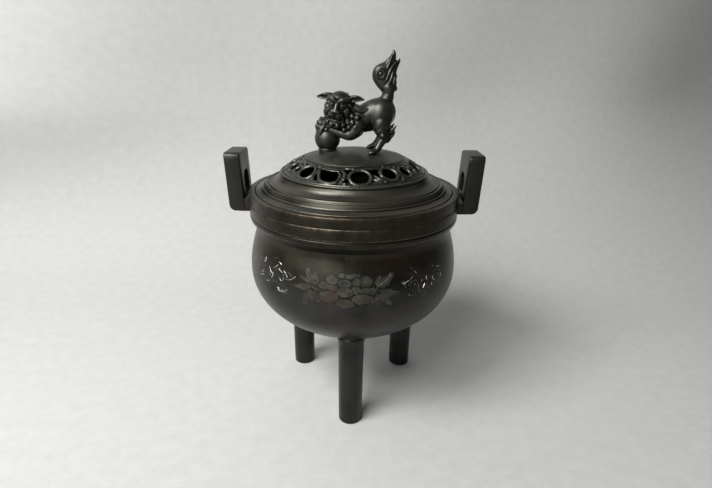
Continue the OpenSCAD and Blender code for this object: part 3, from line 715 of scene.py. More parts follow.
# Head, modelled facing forward about its own centre, then turned and tilted.
head = bmesh.new()
lump(head, (0, 0.6, 1.2), (6.5, 6.4, 6.0))
lump(head, (0, -4.6, -2.4), (4.3, 3.6, 3.4))
lump(head, (0, -2.4, -5.4), (4.0, 4.0, 3.0))
limb(head, [(0, -5.4, 3.2, 1.6), (0, -6.8, 1.2, 1.35), (0, -8.0, -0.6, 1.5)], 12)
lump(head, (0, -8.7, -1.3), (2.1, 1.3, 1.15))
for s in (-1, 1):
    lump(head, (s * 1.5, -8.9, -1.6), (0.95, 0.95, 0.85))
    lump(head, (s * 1.8, -7.4, -3.2), (2.2, 1.8, 1.6))
    lump(head, (s * 2.8, -5.9, 1.5), (1.5, 1.5, 1.4), detail=4)
    limb(head, [(s * 1.3, -6.7, 1.5, 0.4), (s * 2.8, -7.0, 3.0, 0.45), (s * 4.4, -5.9, 1.8, 0.4),
                (s * 4.6, -5.6, 1.2, 0.3)], 8)
    limb(head, [(s * 1.3, -6.7, 1.2, 0.35), (s * 2.9, -7.0, 0.1, 0.4), (s * 4.5, -5.8, 1.2, 0.35)],
         8)
    lump(head, (s * 2.8, -7.3, 1.5), (0.5, 0.35, 0.5), detail=2)
    limb(head, [(s * 0.7, -6.8, 3.2, 0.9), (s * 2.8, -6.7, 4.5, 1.1), (s * 5.0, -5.0, 4.4, 1.0),
                (s * 6.4, -3.2, 3.2, 0.5)], 10)
    curl(head, (s * 1.9, -6.6, 4.4), (s * 0.2, -1, 0.5), 1.35, hand=s)
    curl(head, (s * 4.6, -5.2, 4.9), (s * 0.6, -1, 0.5), 1.3, hand=-s)
    lump(head, (s * 4.6, -3.0, -1.8), (2.6, 3.0, 3.0))
    curl(head, (s * 5.4, -4.6, -0.6), (s * 0.8, -1, 0), 1.5, hand=s, start=60)
    curl(head, (s * 5.5, -4.0, -3.6), (s * 0.9, -1, -0.2), 1.6, hand=-s, start=10)
    limb(head, [(s * 2.6, -7.6, -4.2, 0.7), (s * 3.9, -6.2, -4.9, 0.75),
                (s * 3.7, -5.6, -6.6, 0.7), (s * 2.0, -6.6, -7.6, 0.7), (0, -7.2, -7.9, 0.7)], 8)
    limb(head, [(s * 1.9, -8.1, -4.4, 0.55), (s * 1.9, -8.2, -5.9, 0.2)], 8)
    limb(head, [(s * 0.7, -8.2, -4.3, 0.5), (s * 0.7, -8.2, -5.2, 0.3)], 8)
    curl(head, (s * 1.6, -7.2, -9.0), (s * 0.3, -1, -0.3), 1.5, hand=s, start=200)
    curl(head, (s * 4.2, -5.2, -8.4), (s * 0.8, -1, -0.4), 1.7, hand=-s, start=120)
    lift = 1.5 if s > 0 else -1.3
    limb(head, [(s * 4.4, 0.4, 3.6, 2.0), (s * 7.2, -0.1, 4.2 + lift * 0.4, 1.75),
                (s * 9.8, -0.2, 4.2 + lift * 0.8, 1.3), (s * 12.6, 0, 3.6 + lift, 0.45)],
         14, 5, flat=0.62)
    limb(head, [(s * 5.6, -1.2, 4.9 + lift * 0.2, 0.5), (s * 8.6, -1.4, 5.4 + lift * 0.6, 0.45),
                (s * 12.4, -0.4, 3.9 + lift, 0.3)], 8, 5)
    limb(head, [(s * 5.6, -1.6, 2.8 + lift * 0.2, 0.5), (s * 8.8, -1.3, 2.9 + lift * 0.6, 0.45),
                (s * 12.2, -0.4, 3.4 + lift, 0.3)], 8, 5)
lump(head, (0, -5.4, -6.6), (3.3, 2.4, 1.0))
lump(head, (0, -3.4, -5.6), (4.4, 3.2, 3.0))
lump(head, (0, -4.6, -8.0), (3.0, 2.6, 1.6))

# Locks of the mane sweep back from the temples and cheeks and end in curls.
for s in (-1, 1):
    for k, (x0, y0, z0, x1, y1, z1, x2, y2, z2) in enumerate((
            (5.2, -1.5, 3.4, 7.2, 1.2, 1.4, 7.4, 3.2, -1.6),
            (5.8, -2.4, 1.4, 7.6, -0.6, -1.2, 7.6, 1.0, -4.4),
            (6.0, -2.6, -0.8, 7.4, -1.6, -3.8, 7.0, -0.8, -7.0),
            (5.2, -2.6, -4.0, 6.2, -2.4, -6.8, 5.6, -2.4, -9.6),
            (4.8, 2.4, 4.0, 6.0, 4.6, 1.2, 5.6, 5.8, -2.2),
            (2.2, 4.4, 5.0, 3.0, 6.6, 2.2, 3.0, 7.2, -1.4),
            (4.2, 5.0, 0.2, 5.4, 5.6, -3.0, 5.0, 5.6, -6.2),
            (1.6, 6.2, 0.6, 2.2, 7.0, -3.2, 1.8, 7.0, -6.6))):
        x0, x1, x2 = (x * (1 if s > 0 else 0.88) for x in (x0, x1, x2))
        limb(head, [(s * x0, y0, z0, 1.2), (s * x1, y1, z1, 1.5), (s * x2, y2, z2, 1.1)], 10, 5)
        limb(head, [(s * (x0 + 0.5), y0 - 0.9, z0, 0.4), (s * (x1 + 0.9), y1 - 0.7, z1, 0.45),
                    (s * (x2 + 0.7), y2 - 0.5, z2, 0.35)], 8, 5)
        out = Vector((s * x2, y2 * 0.8, 0)).normalized()
        curl(head, (s * x2, y2, z2 - 0.4), (out.x, out.y - 0.25, -0.25), 1.7, hand=s,
             start=k * 50)
bmesh.ops.transform(head, verts=head.verts, matrix=Matrix.Translation((-8.2, -3.2, 176.0))
                    @ Matrix.Rotation(math.radians(-10), 4, "Z")
                    @ Matrix.Rotation(math.radians(9), 4, "Y")
                    @ Matrix.Rotation(math.radians(8), 4, "X"))
add_wax(bm, head)

# Neck, ruff on the chest and the lock at the nape.
limb(bm, [(-6, -1.6, 173, 5.6), (-2.6, -0.8, 170.8, 6.2), (1.2, -0.2, 170.2, 5.8)], 20)
for x, y, z, r, fx, fy, fz in (
        (-3.6, -6.6, 167.6, 2.0, 0, -1, -0.2), (-6.6, -6.4, 165.8, 2.0, -0.2, -1, -0.3),
        (-9.8, -6.2, 165.6, 1.9, -0.2, -1, -0.3), (-1.4, -6.4, 170.6, 2.0, 0.2, -1, 0),
        (-0.6, -5.4, 173.8, 2.0, 0.4, -1, 0.1), (-3.6, 6.4, 167.6, 2.0, 0, 1, -0.2),
        (-6.8, 6.0, 166.2, 2.0, -0.2, 1, -0.3), (-1.2, 6.2, 170.8, 2.0, 0.2, 1, 0),
        (-0.4, 4.8, 174.2, 2.0, 0.3, 1, 0.2), (-10, 5.4, 166.6, 1.9, -0.4, 1, -0.3),
        (-11.6, -3.0, 166.0, 1.8, -0.8, -0.5, -0.4), (-12, 1.6, 167.2, 1.8, -1, 0.3, -0.3),
        (-1.0, -7.4, 167.4, 1.7, 0.1, -1, -0.1), (-3.0, -7.3, 164.9, 1.6, 0, -1, -0.3),
        (1.4, -7.0, 170.0, 1.6, 0.3, -1, 0.1), (0.4, -7.6, 164.8, 1.4, 0.2, -1, -0.3),
        (-5.6, -7.1, 163.6, 1.4, -0.1, -1, -0.4), (-1.0, 7.4, 167.4, 1.7, 0.1, 1, -0.1),
        (-3.0, 7.3, 164.9, 1.6, 0, 1, -0.3), (1.4, 7.0, 170.0, 1.6, 0.3, 1, 0.1)):
    curl(bm, (x, y, z), (fx, fy, fz), r, hand=1 if y < 0 else -1, start=z * 37)
for y in (-1.8, 1.8):
    flame(bm, [(-3.6, y, 173.4, 1.5), (-1.0, y, 172.8, 1.3), (2.0, y, 172.9, 0.9),
               (4.4, y, 174.6, 0.4)], flat=0.8)

TAIL_SEAT = 181.6
finish_piece("lion_casting", melt(bm, 0.265, 1), "lid", ["lion_body"], finial_bronze,
             70, rubbed_and_shaded=True)


# ---------------------------------------------------------------- tail

bm = bmesh.new()
limb(bm, [(17.4, 0, 181.0, 3.2), (17.5, 0, 182.8, 3.3), (17.4, 0, 185.4, 3.8)], 20)
limb(bm, [(16.9, 0, 185.2, 3.9), (14.5, 0, 189.4, 5.0), (14.2, 0, 192.0, 5.35),
          (17.0, 0, 195.4, 3.5), (19.0, 0, 199.2, 2.0), (19.7, 0, 201.8, 1.3),
          (19.5, 0, 203.4, 0.7)], 24, flat=0.66)
limb(bm, [(18.2, 0, 185.2, 3.6), (18.2, 0, 189, 3.5), (18.9, 0, 193, 2.8),
          (20.9, 0, 196.2, 1.7), (22.5, 0, 198.2, 1.0), (22.8, 0, 199.4, 0.5)], 18, flat=0.66)
limb(bm, [(18.6, 0, 184.6, 3.0), (20.3, 0, 186.8, 2.0), (21.2, 0, 187.6, 1.0)], 14, flat=0.7)
bm = melt(bm, 0.36, 10)
for s in (-1, 1):
    ring = [(13.1 + 2.0 * math.cos(a), s * 3.2, 191.8 + 2.0 * math.sin(a), 0.52)
            for a in (2 * math.pi * i / 24 for i in range(25))]
    limb(bm, ring, 8, 1)
    lump(bm, (13.1, s * 2.9, 191.8), (1.15, 1.0, 1.15))
    limb(bm, [(16.4, s * 2.5, 194.6, 0.3), (17.6, s * 1.9, 197.4, 0.4),
              (18.7, s * 1.1, 201.0, 0.3)], 8, 5)
    limb(bm, [(14.6, s * 2.7, 187.4, 0.4), (16.4, s * 2.8, 189.4, 0.6),
              (17.6, s * 2.5, 192.6, 0.55), (19.0, s * 1.8, 195.2, 0.4),
              (21.4, s * 0.8, 198.0, 0.3)], 8, 5)
    limb(bm, [(16.2, s * 2.7, 185.4, 0.5), (17.9, s * 2.7, 187.8, 0.75),
              (18.9, s * 2.4, 190.4, 0.8), (19.4, s * 2.0, 192.6, 0.3)], 8, 5)
    limb(bm, [(18.2, s * 2.4, 184.8, 0.5), (19.9, s * 1.8, 187.0, 0.7),
              (20.5, s * 1.5, 189.6, 0.7), (20.4, s * 1.2, 191.6, 0.3)], 8, 5)
    lump(bm, (17.2, s * 2.5, 186.2), (0.9, 0.7, 1.2))
for x, z, r in ((20.9, 190.6, 1.0), (20.7, 193.6, 0.9), (21.4, 184.6, 0.9)):
    lump(bm, (x, 0, z), (r, 1.3, r * 1.5))
bm = melt(bm, 0.24, 2)
shorn = bmesh.ops.bisect_plane(bm, geom=bm.verts[:] + bm.edges[:] + bm.faces[:], clear_outer=True,
                               plane_co=(0, 0, TAIL_SEAT), plane_no=(0, 0, -1))["geom_cut"]
bmesh.ops.holes_fill(bm, edges=[e for e in shorn if isinstance(e, bmesh.types.BMEdge)])
finish_piece("tail_casting", bm, "lid", ["lion_tail"], finial_bronze, 70,
             rubbed_and_shaded=True)


# ---------------------------------------------------------------- pierced band of scrollwork

SLOPE = math.hypot(BAND_LOW[0] - BAND_HIGH[0], BAND_HIGH[1] - BAND_LOW[1])
OUTWARD = ((BAND_HIGH[1] - BAND_LOW[1]) / SLOPE, (BAND_LOW[0] - BAND_HIGH[0]) / SLOPE)
BAND_MIDDLE_R = 33.5


def on_band(along, up, lift=0.0, turn=0.0):
    """A place on the band: mm along it from the front, mm up its slope from the middle."""
    t = (up + SLOPE / 2) / SLOPE
    bulge = BAND_BULGE * math.sin(math.pi * min(1, max(0, t))) + lift
    r = BAND_LOW[0] + (BAND_HIGH[0] - BAND_LOW[0]) * t + OUTWARD[0] * bulge
    z = BAND_LOW[1] + (BAND_HIGH[1] - BAND_LOW[1]) * t + OUTWARD[1] * bulge
    a = -math.pi / 2 + along / BAND_MIDDLE_R + turn
    return (r * math.cos(a), r * math.sin(a), z)


def scroll(bm, line, turn, lift=-0.55):
    """A cast scroll through (along, up, radius) points."""
    fine = smooth_line(line, 5)
    limb(bm, [(*on_band(u, v, lift, turn), r) for u, v, r in fine], sides=10, steps=1)


def ring_scroll(bm, along, up, radius, wire, turn, lift=-0.35):
    """A cast ring on the band."""
    line = [(along + radius * math.cos(a), up + radius * math.sin(a), wire)
            for a in (2 * math.pi * i / 30 for i in range(31))]
    limb(bm, [(*on_band(u, v, lift, turn), r) for u, v, r in line], sides=12, steps=1)


bm = bmesh.new()
for up, wire in ((6.1, 0.95), (-5.0, 0.95), (-6.1, 1.05)):
    line = [(*on_band(BAND_MIDDLE_R * 2 * math.pi * i / 120, up, -0.6), wire) for i in range(121)]
    limb(bm, line, sides=10, steps=1)
for turn in (0, 2 * math.pi / 3, 4 * math.pi / 3):
    # Rings, from left to right.
    ring_scroll(bm, -33.6, -0.8, 2.7, 0.9, turn)
    ring_scroll(bm, -26.0, -0.2, 4.9, 1.0, turn)
    ring_scroll(bm, 3.3, -0.4, 5.3, 1.0, turn)
    ring_scroll(bm, 19.1, 0.8, 4.85, 1.0, turn)
    ring_scroll(bm, 30.0, 0.0, 3.9, 0.95, turn)
    # Scroll tails between the rings.
    scroll(bm, [(-36.6, 5.4, 0.8), (-34.0, 4.2, 1.0), (-31.6, 2.6, 0.9), (-30.2, 4.6, 0.7)], turn)
    scroll(bm, [(-34.6, -3.4, 0.8), (-32.2, -4.6, 1.0), (-29.6, -4.4, 0.9), (-28.0, -5.6, 0.6)],
           turn)
    scroll(bm, [(-22.2, 2.6, 0.8), (-21.8, 4.6, 1.0), (-19.4, 5.0, 0.9)], turn)
    scroll(bm, [(-19.8, 5.8, 0.9), (-19.4, 2.6, 1.0), (-20.6, -1.2, 1.05), (-20.0, -3.8, 1.0),
                (-21.4, -5.4, 0.8)], turn)
    scroll(bm, [(-19.4, 2.8, 0.8), (-17.8, -0.6, 1.0), (-16.0, -3.7, 1.1), (-12.2, -5.0, 1.15),
                (-8.5, -4.5, 1.1), (-6.7, -2.2, 1.0), (-6.8, 1.0, 0.85), (-8.0, 2.6, 0.6)], turn)
    scroll(bm, [(-18.4, 4.6, 0.9), (-14.0, 4.4, 1.2), (-9.4, 4.5, 1.2), (-5.6, 5.4, 0.8)], turn,
           -0.7)
    scroll(bm, [(-16.4, 3.4, 0.35), (-12.0, 3.1, 0.5), (-7.8, 3.3, 0.4)], turn, -0.1)
    # Beads beside the large ring, and two bosses by the next.
    for u, v, r in ((-5.2, -4.3, 1.0), (-3.7, -5.1, 0.9), (-4.4, -2.7, 0.8), (-4.0, -0.9, 0.6),
                    (18.2, 5.9, 1.1), (14.6, -4.6, 1.15), (24.4, -5.0, 0.9), (-30.4, -2.4, 0.8)):
        lump(bm, on_band(u, v, 0.1, turn), r)
    scroll(bm, [(-6.6, -5.2, 1.0), (-5.0, -2.6, 1.3), (-4.3, 0.4, 1.2), (-4.8, 2.6, 0.9),
                (-6.2, 3.4, 0.6)], turn, -0.7)
    # Leaf: broad blades laid over one another from its foot, with a fine midrib.
    for u, v in ((9.9, -3.6), (10.0, -1.4), (11.2, 0.4), (13.4, -0.8)):
        scroll(bm, [(14.8, -5.8, 1.3), ((14.4 + u) / 2, (v - 5.2) / 2, 1.75), (u, v, 0.8)],
               turn, -1.1)
    scroll(bm, [(14.6, -5.4, 0.4), (12.6, -3.0, 0.45), (10.0, -0.2, 0.3)], turn, 0.55)
    # Scrolls round the two right-hand rings.
    scroll(bm, [(27.0, 4.9, 0.7), (24.7, 4.2, 1.0), (24.0, 1.0, 1.05), (24.9, -2.4, 1.05),
                (27.2, -4.7, 1.0), (30.4, -5.4, 0.8)], turn)
    scroll(bm, [(16.4, -5.2, 0.8), (19.6, -4.6, 1.0), (22.4, -4.6, 0.9), (23.6, -3.0, 0.5)], turn)
    scroll(bm, [(30.6, 4.4, 0.7), (33.4, 3.6, 1.0), (34.4, 0.8, 0.9)], turn)
    scroll(bm, [(33.2, -2.6, 0.8), (34.6, -4.6, 1.0), (36.4, -5.2, 0.8)], turn)
finish_piece("band_scrollwork", melt(bm, 0.3, 2), "lid", ["lid_openwork"], openwork_bronze,
             70, rubbed_and_shaded=True)


# ---------------------------------------------------------------- inlaid peony and tendrils

def on_bowl(along, z, lift=0.0):
    """A place on the bowl: mm along it from the front, height, and mm proud of its face."""
    r = bowl_radius(z) + lift
    a = -math.pi / 2 + along / BELLY_R
    return (r * math.cos(a), r * math.sin(a), z)


def inlay(bm, outline, proud=0.1):
    """A thin plate let into the bowl, cut into narrow strips so that it follows the curve."""
    part = bmesh.new()
    part.faces.new([part.verts.new((s, 0, z)) for s, z in outline])
    bmesh.ops.triangulate(part, faces=part.faces)
    lows = [min(p[i] for p in outline) for i in (0, 1)]
    highs = [max(p[i] for p in outline) for i in (0, 1)]
    for axis, low, high, pitch in (((1, 0, 0), lows[0], highs[0], 1.3),
                                   ((0, 0, 1), lows[1], highs[1], 1.5)):
        for k in range(1, int((high - low) / pitch) + 1):
            at = low + k * pitch
            bmesh.ops.bisect_plane(part, geom=part.verts[:] + part.edges[:] + part.faces[:],
                                   plane_co=(at * axis[0], 0, at * axis[2]), plane_no=axis)
    top = bmesh.ops.extrude_face_region(part, geom=part.faces[:])["geom"]
    bmesh.ops.translate(part, vec=(0, proud + 0.35, 0),
                        verts=[v for v in top if isinstance(v, bmesh.types.BMVert)])
    for v in part.verts:
        v.co = on_bowl(v.co.x, v.co.z, v.co.y - 0.35)
    bmesh.ops.recalc_face_normals(part, faces=part.faces)
    add_wax(bm, part)


def wire(bm, line, radius=0.16, lift=0.08):
    """Drawn wire laid along the bowl through (along, height) points."""
    fine = smooth_line(line, 5)
    last = len(fine) - 1
    limb(bm, [(*on_bowl(s, z, lift), radius * (0.35 + 0.65 * math.sin(math.pi * min(1, (
        0.12 + 0.88 * min(i, last - i) / max(1, last / 2))) / 2))) for i, (s, z) in enumerate(fine)],
         sides=6, steps=1)


HEART = (-3.0, 97.6)    # the middle of the blossom


def petal(centre, width, height, lobes, grow=0.0):
    """Outline of a petal: scalloped on the side away from the blossom's heart, smooth near it."""
    outward = math.atan2(centre[1] - HEART[1], centre[0] - HEART[0])
    outline = []
    for i in range(60):
        a = 2 * math.pi * i / 60
        off = abs((a - outward + math.pi) % (2 * math.pi) - math.pi)
        outer = 1 / (1 + math.exp((off - 1.9) * 5))
        dip = 0.30 * outer * (1 - abs(math.sin(lobes * (a - outward) * 0.62 + math.pi / 2)) ** 0.5)
        reach = 1.08 - dip - 0.07 * (1 - outer)
        outline.append((centre[0] + (width / 2 + grow) * reach * math.cos(a),
                        centre[1] + (height / 2 + grow) * reach * math.sin(a)))
    return outline


def leaf(foot, tip, width, lobes=3, bend=0.0):
    """Pointed leaf with lobed sides. Returns its outline and its midrib."""
    length = math.hypot(tip[0] - foot[0], tip[1] - foot[1])
    ux, uz = (tip[0] - foot[0]) / length, (tip[1] - foot[1]) / length

    def at(t, side):
        droop = bend * math.sin(math.pi * t)
        return (foot[0] + ux * length * t - uz * (side + droop),
                foot[1] + uz * length * t + ux * (side + droop))
    sides = [[], []]
    steps = lobes * 6
    for i in range(1, steps):
        t = i / steps
        swell = math.sin(math.pi * t ** 0.75) ** 0.8
        scallop = 0.62 + 0.38 * abs(math.sin(math.pi * lobes * t))
        for k, sign in ((0, 1), (1, -1)):
            sides[k].append(at(t + 0.04 * math.sin(math.pi * lobes * t), sign * width / 2 * swell
                               * scallop))
    return [foot, *sides[0], tip, *sides[1][::-1]], [at(t / 6, 0) for t in range(7)]


petals = bmesh.new()
outlines = bmesh.new()
veins = bmesh.new()
# The blossom's petals from the back to the front, each in a dark outline over the last.
for layer, (middle, width, height, lobes) in enumerate((
        ((-4.6, 102.0), 4.8, 2.6, 3), ((2.2, 102.0), 4.8, 2.4, 3), ((-1.1, 101.6), 4.4, 2.6, 3),
        ((7.0, 99.2), 6.8, 5.8, 4), ((-9.9, 99.6), 6.0, 5.4, 4), ((2.6, 98.9), 4.8, 4.4, 3),
        ((-13.6, 96.7), 5.8, 4.2, 3), ((-9.2, 95.6), 5.4, 3.4, 3), ((10.2, 94.4), 4.4, 4.0, 3),
        ((6.8, 94.6), 5.2, 3.8, 3), ((2.2, 95.0), 5.2, 4.0, 3), ((-3.4, 98.3), 7.0, 4.2, 6),
        ((-3.4, 93.9), 8.6, 5.0, 4), ((-11.2, 91.1), 9.8, 6.5, 5), ((5.3, 90.5), 10.2, 5.6, 5),
        ((-3.2, 88.0), 9.2, 5.2, 4))):
    height_up = 0.03 + 0.015 * layer
    inlay(outlines, petal(middle, width, height, lobes, 0.22), height_up)
    inlay(petals, petal(middle, width, height, lobes, -0.14), height_up + 0.02)
    # Fine chased lines run in from the petal's outer edge.
    away = Vector((middle[0] - HEART[0], middle[1] - HEART[1] + 0.01)).normalized()
    across = Vector((-away.y, away.x))
    if width > 4.5 and layer > 2:
        reach = 0.42 * (abs(away.x) * width + abs(away.y) * height)
        spread = 0.30 * (abs(across.x) * width + abs(across.y) * height)
        for k in (-1, 0, 1):
            foot = Vector(middle) + across * spread * k * 0.5
            top = Vector(middle) + across * spread * k * 0.8 + away * reach * (0.6 - 0.14 * abs(k))
            wire(veins, [tuple(foot), tuple((foot + top) / 2), tuple(top)], 0.06, height_up + 0.02)
for k in range(9):
    a = math.radians(-15 + 26 * k)
    tip = (-3.2 + 2.5 * math.cos(a), 98.3 + 1.3 * math.sin(a))
    wire(veins, [(-3.2, 98.0), ((tip[0] - 3.2) / 2, (tip[1] + 98.2) / 2), tip], 0.08, 0.24)
    lump(veins, on_bowl(*tip, 0.22), 0.22, detail=1)
for foot, tip, width, lobes, bend in (
        ((-18.8, 96.4), (-23.4, 103.8), 4.6, 3, 0.5), ((-18.2, 96.2), (-18.6, 102.8), 3.4, 2, -0.3),
        ((-20.4, 95.4), (-31.2, 93.6), 3.6, 3, 0.4), ((-18.4, 92.6), (-24.8, 84.8), 5.4, 3, -0.6),
        ((-17.0, 91.8), (-15.9, 87.0), 2.8, 2, 0), ((-20.0, 97.2), (-27.6, 99.4), 2.6, 2, 0.2),
        ((12.9, 96.4), (21.6, 102.6), 5.4, 3, -0.5), ((12.6, 96.6), (14.4, 102.2), 3.4, 2, 0),
        ((14.0, 94.3), (25.4, 91.8), 4.2, 3, -0.5), ((13.2, 92.2), (20.2, 86.3), 4.6, 3, 0.5),
        ((12.4, 91.6), (13.6, 85.8), 3.0, 2, 0), ((10.4, 91.9), (10.2, 87.6), 2.2, 2, 0)):
    outline, rib = leaf(foot, tip, width, lobes, bend)
    inlay(petals, outline, 0.04)
    wire(veins, rib[:6], 0.09, 0.05)
    for k in (1, 2, 3, 4):
        for side in (1, -1):
            a, b = rib[k], rib[k + 1]
            dx, dz = b[0] - a[0], b[1] - a[1]
            out = side * width * 0.30 * math.sin(math.pi * (k + 0.6) / 6.4) / math.hypot(dx, dz)
            wire(veins, [a, (a[0] + dx * 0.7 - dz * out * 0.6, a[1] + dz * 0.7 + dx * out * 0.6),
                         (a[0] + dx - dz * out, a[1] + dz + dx * out)], 0.06, 0.05)
for stem in ([(-16.2, 94.4), (-17.8, 94.3), (-18.8, 96.4)], [(-17.9, 94.3), (-20.4, 95.4)],
             [(-17.8, 94.2), (-18.4, 92.6)], [(-17.4, 93.8), (-17.2, 91.6)],
             [(10.8, 94.6), (11.8, 95.0), (12.9, 96.6)], [(11.6, 95.0), (14.2, 94.3)],
             [(11.6, 95.0), (12.9, 91.8)]):
    wire(veins, stem, 0.16, 0.1)
# Bright picked-out lines on the lower left leaf.
for line in ([(-24.6, 94.6), (-22.6, 94.9), (-20.8, 94.4)], [(-24.8, 92.9), (-22.4, 93.4), (-20.2, 92.7)],
             [(-21.6, 91.6), (-20.0, 91.2), (-18.9, 90.2)], [(-18.6, 89.9), (-18.2, 88.4)]):
    wire(veins, line, 0.2, 0.12)

# Drawn silver wire on either side, much of it worn away: bright runs, then dull ones.
tendrils = bmesh.new()
for line in (
        # Left: a waving stem with curled shoots, and a sprig below it.
        [(-37.5, 99.4), (-36.2, 98.5), (-35.2, 97.4), (-34.7, 96.4)],
        [(-35.9, 95.5), (-34.2, 95.5), (-32.5, 96.0), (-31.1, 97.0), (-29.7, 98.1)],
        [(-37.6, 97.3), (-37.0, 96.0), (-37.7, 94.2), (-39.0, 93.9), (-39.8, 94.9)],
        [(-41.0, 99.6), (-39.6, 98.5), (-38.2, 98.2)], [(-41.9, 102.9), (-40.8, 102.5), (-39.6, 102.0)],
        [(-45.0, 98.9), (-43.4, 99.9), (-42.2, 101.2)],
        [(-49.2, 98.6), (-47.8, 97.1), (-46.8, 96.2), (-46.0, 95.8)],
        [(-45.3, 96.4), (-45.4, 95.0), (-46.2, 93.2)], [(-53.5, 102.0), (-53.0, 101.0), (-53.1, 99.6)],
        [(-57.0, 91.2), (-55.0, 92.3), (-53.3, 92.3)], [(-53.2, 96.0), (-54.1, 94.6), (-55.7, 93.2)],
        [(-50.5, 90.8), (-49.3, 90.4), (-47.9, 91.2)], [(-41.6, 89.6), (-40.6, 89.4), (-39.9, 89.0)],
        [(-40.5, 88.3), (-39.2, 88.0), (-37.2, 88.2), (-35.5, 89.1), (-34.1, 90.1)],
        [(-38.4, 89.1), (-36.9, 89.0), (-35.2, 89.9)],
        # Right: finer and more broken.
        [(25.6, 96.9), (26.8, 96.2), (27.8, 95.4)], [(27.4, 96.2), (28.7, 96.8), (30.0, 97.3)],
        [(26.6, 97.5), (27.6, 96.6)], [(39.0, 91.3), (39.6, 92.4), (40.2, 93.4)],
        [(45.6, 92.1), (45.4, 90.8)], [(29.9, 90.1), (30.6, 89.2)],
        [(41.8, 97.0), (41.5, 95.8), (42.2, 94.7)],
        [(34.1, 101.5), (34.6, 100.4), (35.1, 99.8)], [(49.8, 99.4), (51.2, 99.7), (52.6, 98.6)],
        [(53.7, 95.3), (53.6, 93.4)], [(46.4, 95.6), (46.5, 94.3), (48.4, 92.8)],
        [(33.1, 95.0), (33.8, 94.4)]):
    wire(tendrils, line, 0.21, 0.05)
faded = bmesh.new()
for line in (
        [(-55.3, 101.6), (-55.1, 100.3), (-54.1, 99.2)],
        [(-61.4, 95.0), (-58.8, 95.2), (-59.2, 93.4), (-61.4, 93.2)],
        [(-52.8, 94.8), (-51.6, 94.2)], [(-49.0, 95.7), (-48.1, 94.7), (-47.2, 94.0)],
        [(-47.4, 91.6), (-46.5, 93.0)], [(-41.5, 95.0), (-40.0, 96.0)],
        [(-37.0, 87.8), (-35.6, 87.7), (-34.4, 88.7)],
        [(-60.6, 99.0), (-58.6, 100.4), (-57.0, 99.3)], [(-45.6, 103.4), (-44.0, 104.4), (-42.0, 104.1)],
        [(-39.2, 93.0), (-39.7, 91.8), (-38.8, 91.0)], [(-37.4, 93.6), (-36.6, 92.6), (-37.0, 91.3)],
        [(-52.1, 98.8), (-52.2, 97.1)], [(-44.0, 97.8), (-42.9, 98.9), (-41.9, 98.4)],
        [(-34.8, 99.2), (-33.2, 98.8), (-32.1, 97.6)], [(-44.7, 92.5), (-43.4, 91.8), (-41.8, 92.7)],
        [(29.8, 95.5), (30.1, 94.2)], [(31.5, 96.4), (31.1, 94.8), (32.2, 93.5)],
        [(32.2, 96.4), (33.8, 96.6), (35.2, 95.6)], [(35.5, 94.8), (36.1, 93.4), (35.5, 92.5)],
        [(41.3, 93.2), (41.6, 91.8)], [(42.4, 90.9), (44.0, 90.1), (45.2, 90.3)],
        [(31.8, 89.5), (32.8, 88.8)],
        [(33.8, 90.0), (34.0, 88.4)], [(39.3, 89.8), (40.7, 88.5), (40.4, 87.2), (38.7, 87.2)],
        [(43.8, 96.7), (44.7, 95.3)], [(47.0, 101.3), (47.6, 100.2)], [(53.8, 99.4), (54.1, 98.2)],
        [(47.4, 97.8), (50.0, 98.2), (52.8, 96.9), (54.1, 95.2)],
        [(47.8, 96.0), (50.5, 96.3), (53.2, 94.5)],
        [(49.8, 92.1), (52.1, 92.2), (53.3, 93.3)], [(31.9, 103.4), (32.8, 102.1)],
        [(30.6, 101.2), (31.7, 100.1)],
        [(32.8, 98.9), (31.7, 98.3), (31.0, 97.4)], [(29.9, 93.1), (30.9, 92.0)],
        [(32.0, 91.7), (32.8, 90.5)],
        [(35.9, 91.2), (37.1, 90.0)], [(38.1, 95.0), (38.9, 95.9)], [(28.0, 94.6), (27.8, 93.7)]):
    wire(faded, line, 0.17, 0.02)
for s, z, r in ((-53.1, 100.2, 0.34), (-55.2, 92.2, 0.3), (-37.2, 95.6, 0.3), (-32.8, 95.9, 0.3),
                (-46.6, 96.0, 0.3), (-37.2, 88.3, 0.32), (26.9, 96.3, 0.42), (29.6, 96.9, 0.3),
                (30.3, 89.6, 0.36), (53.7, 94.4, 0.3), (45.5, 91.4, 0.36), (41.6, 95.8, 0.32),
                (47.4, 100.8, 0.26), (51.2, 99.6, 0.3), (33.6, 94.6, 0.34)):
    lump(tendrils, on_bowl(s, z, 0.02), (r, r, r * 0.8), detail=2)


def silver(name, dark, light, roughness, metallic, tarnish=None):
    """Old silver, darker and duller in patches, and browned where tarnish is given."""
    def draw(paint):
        place = paint.add("TexCoord", "Object")
        patches = paint.noise(place, 260, 5)
        tone = paint.ramp(patches, (0.38, dark), (0.62, light))
        if tarnish:
            tone = paint.blend(paint.spread(paint.noise(place, 75, 2), 0.46, 0.62), tone, tarnish)
        return {"Base Color": tone, "Normal": paint.bump(patches, 0.2, 0.0001)}

    return new_material(name, {"Metallic": metallic, "Roughness": roughness}, draw)


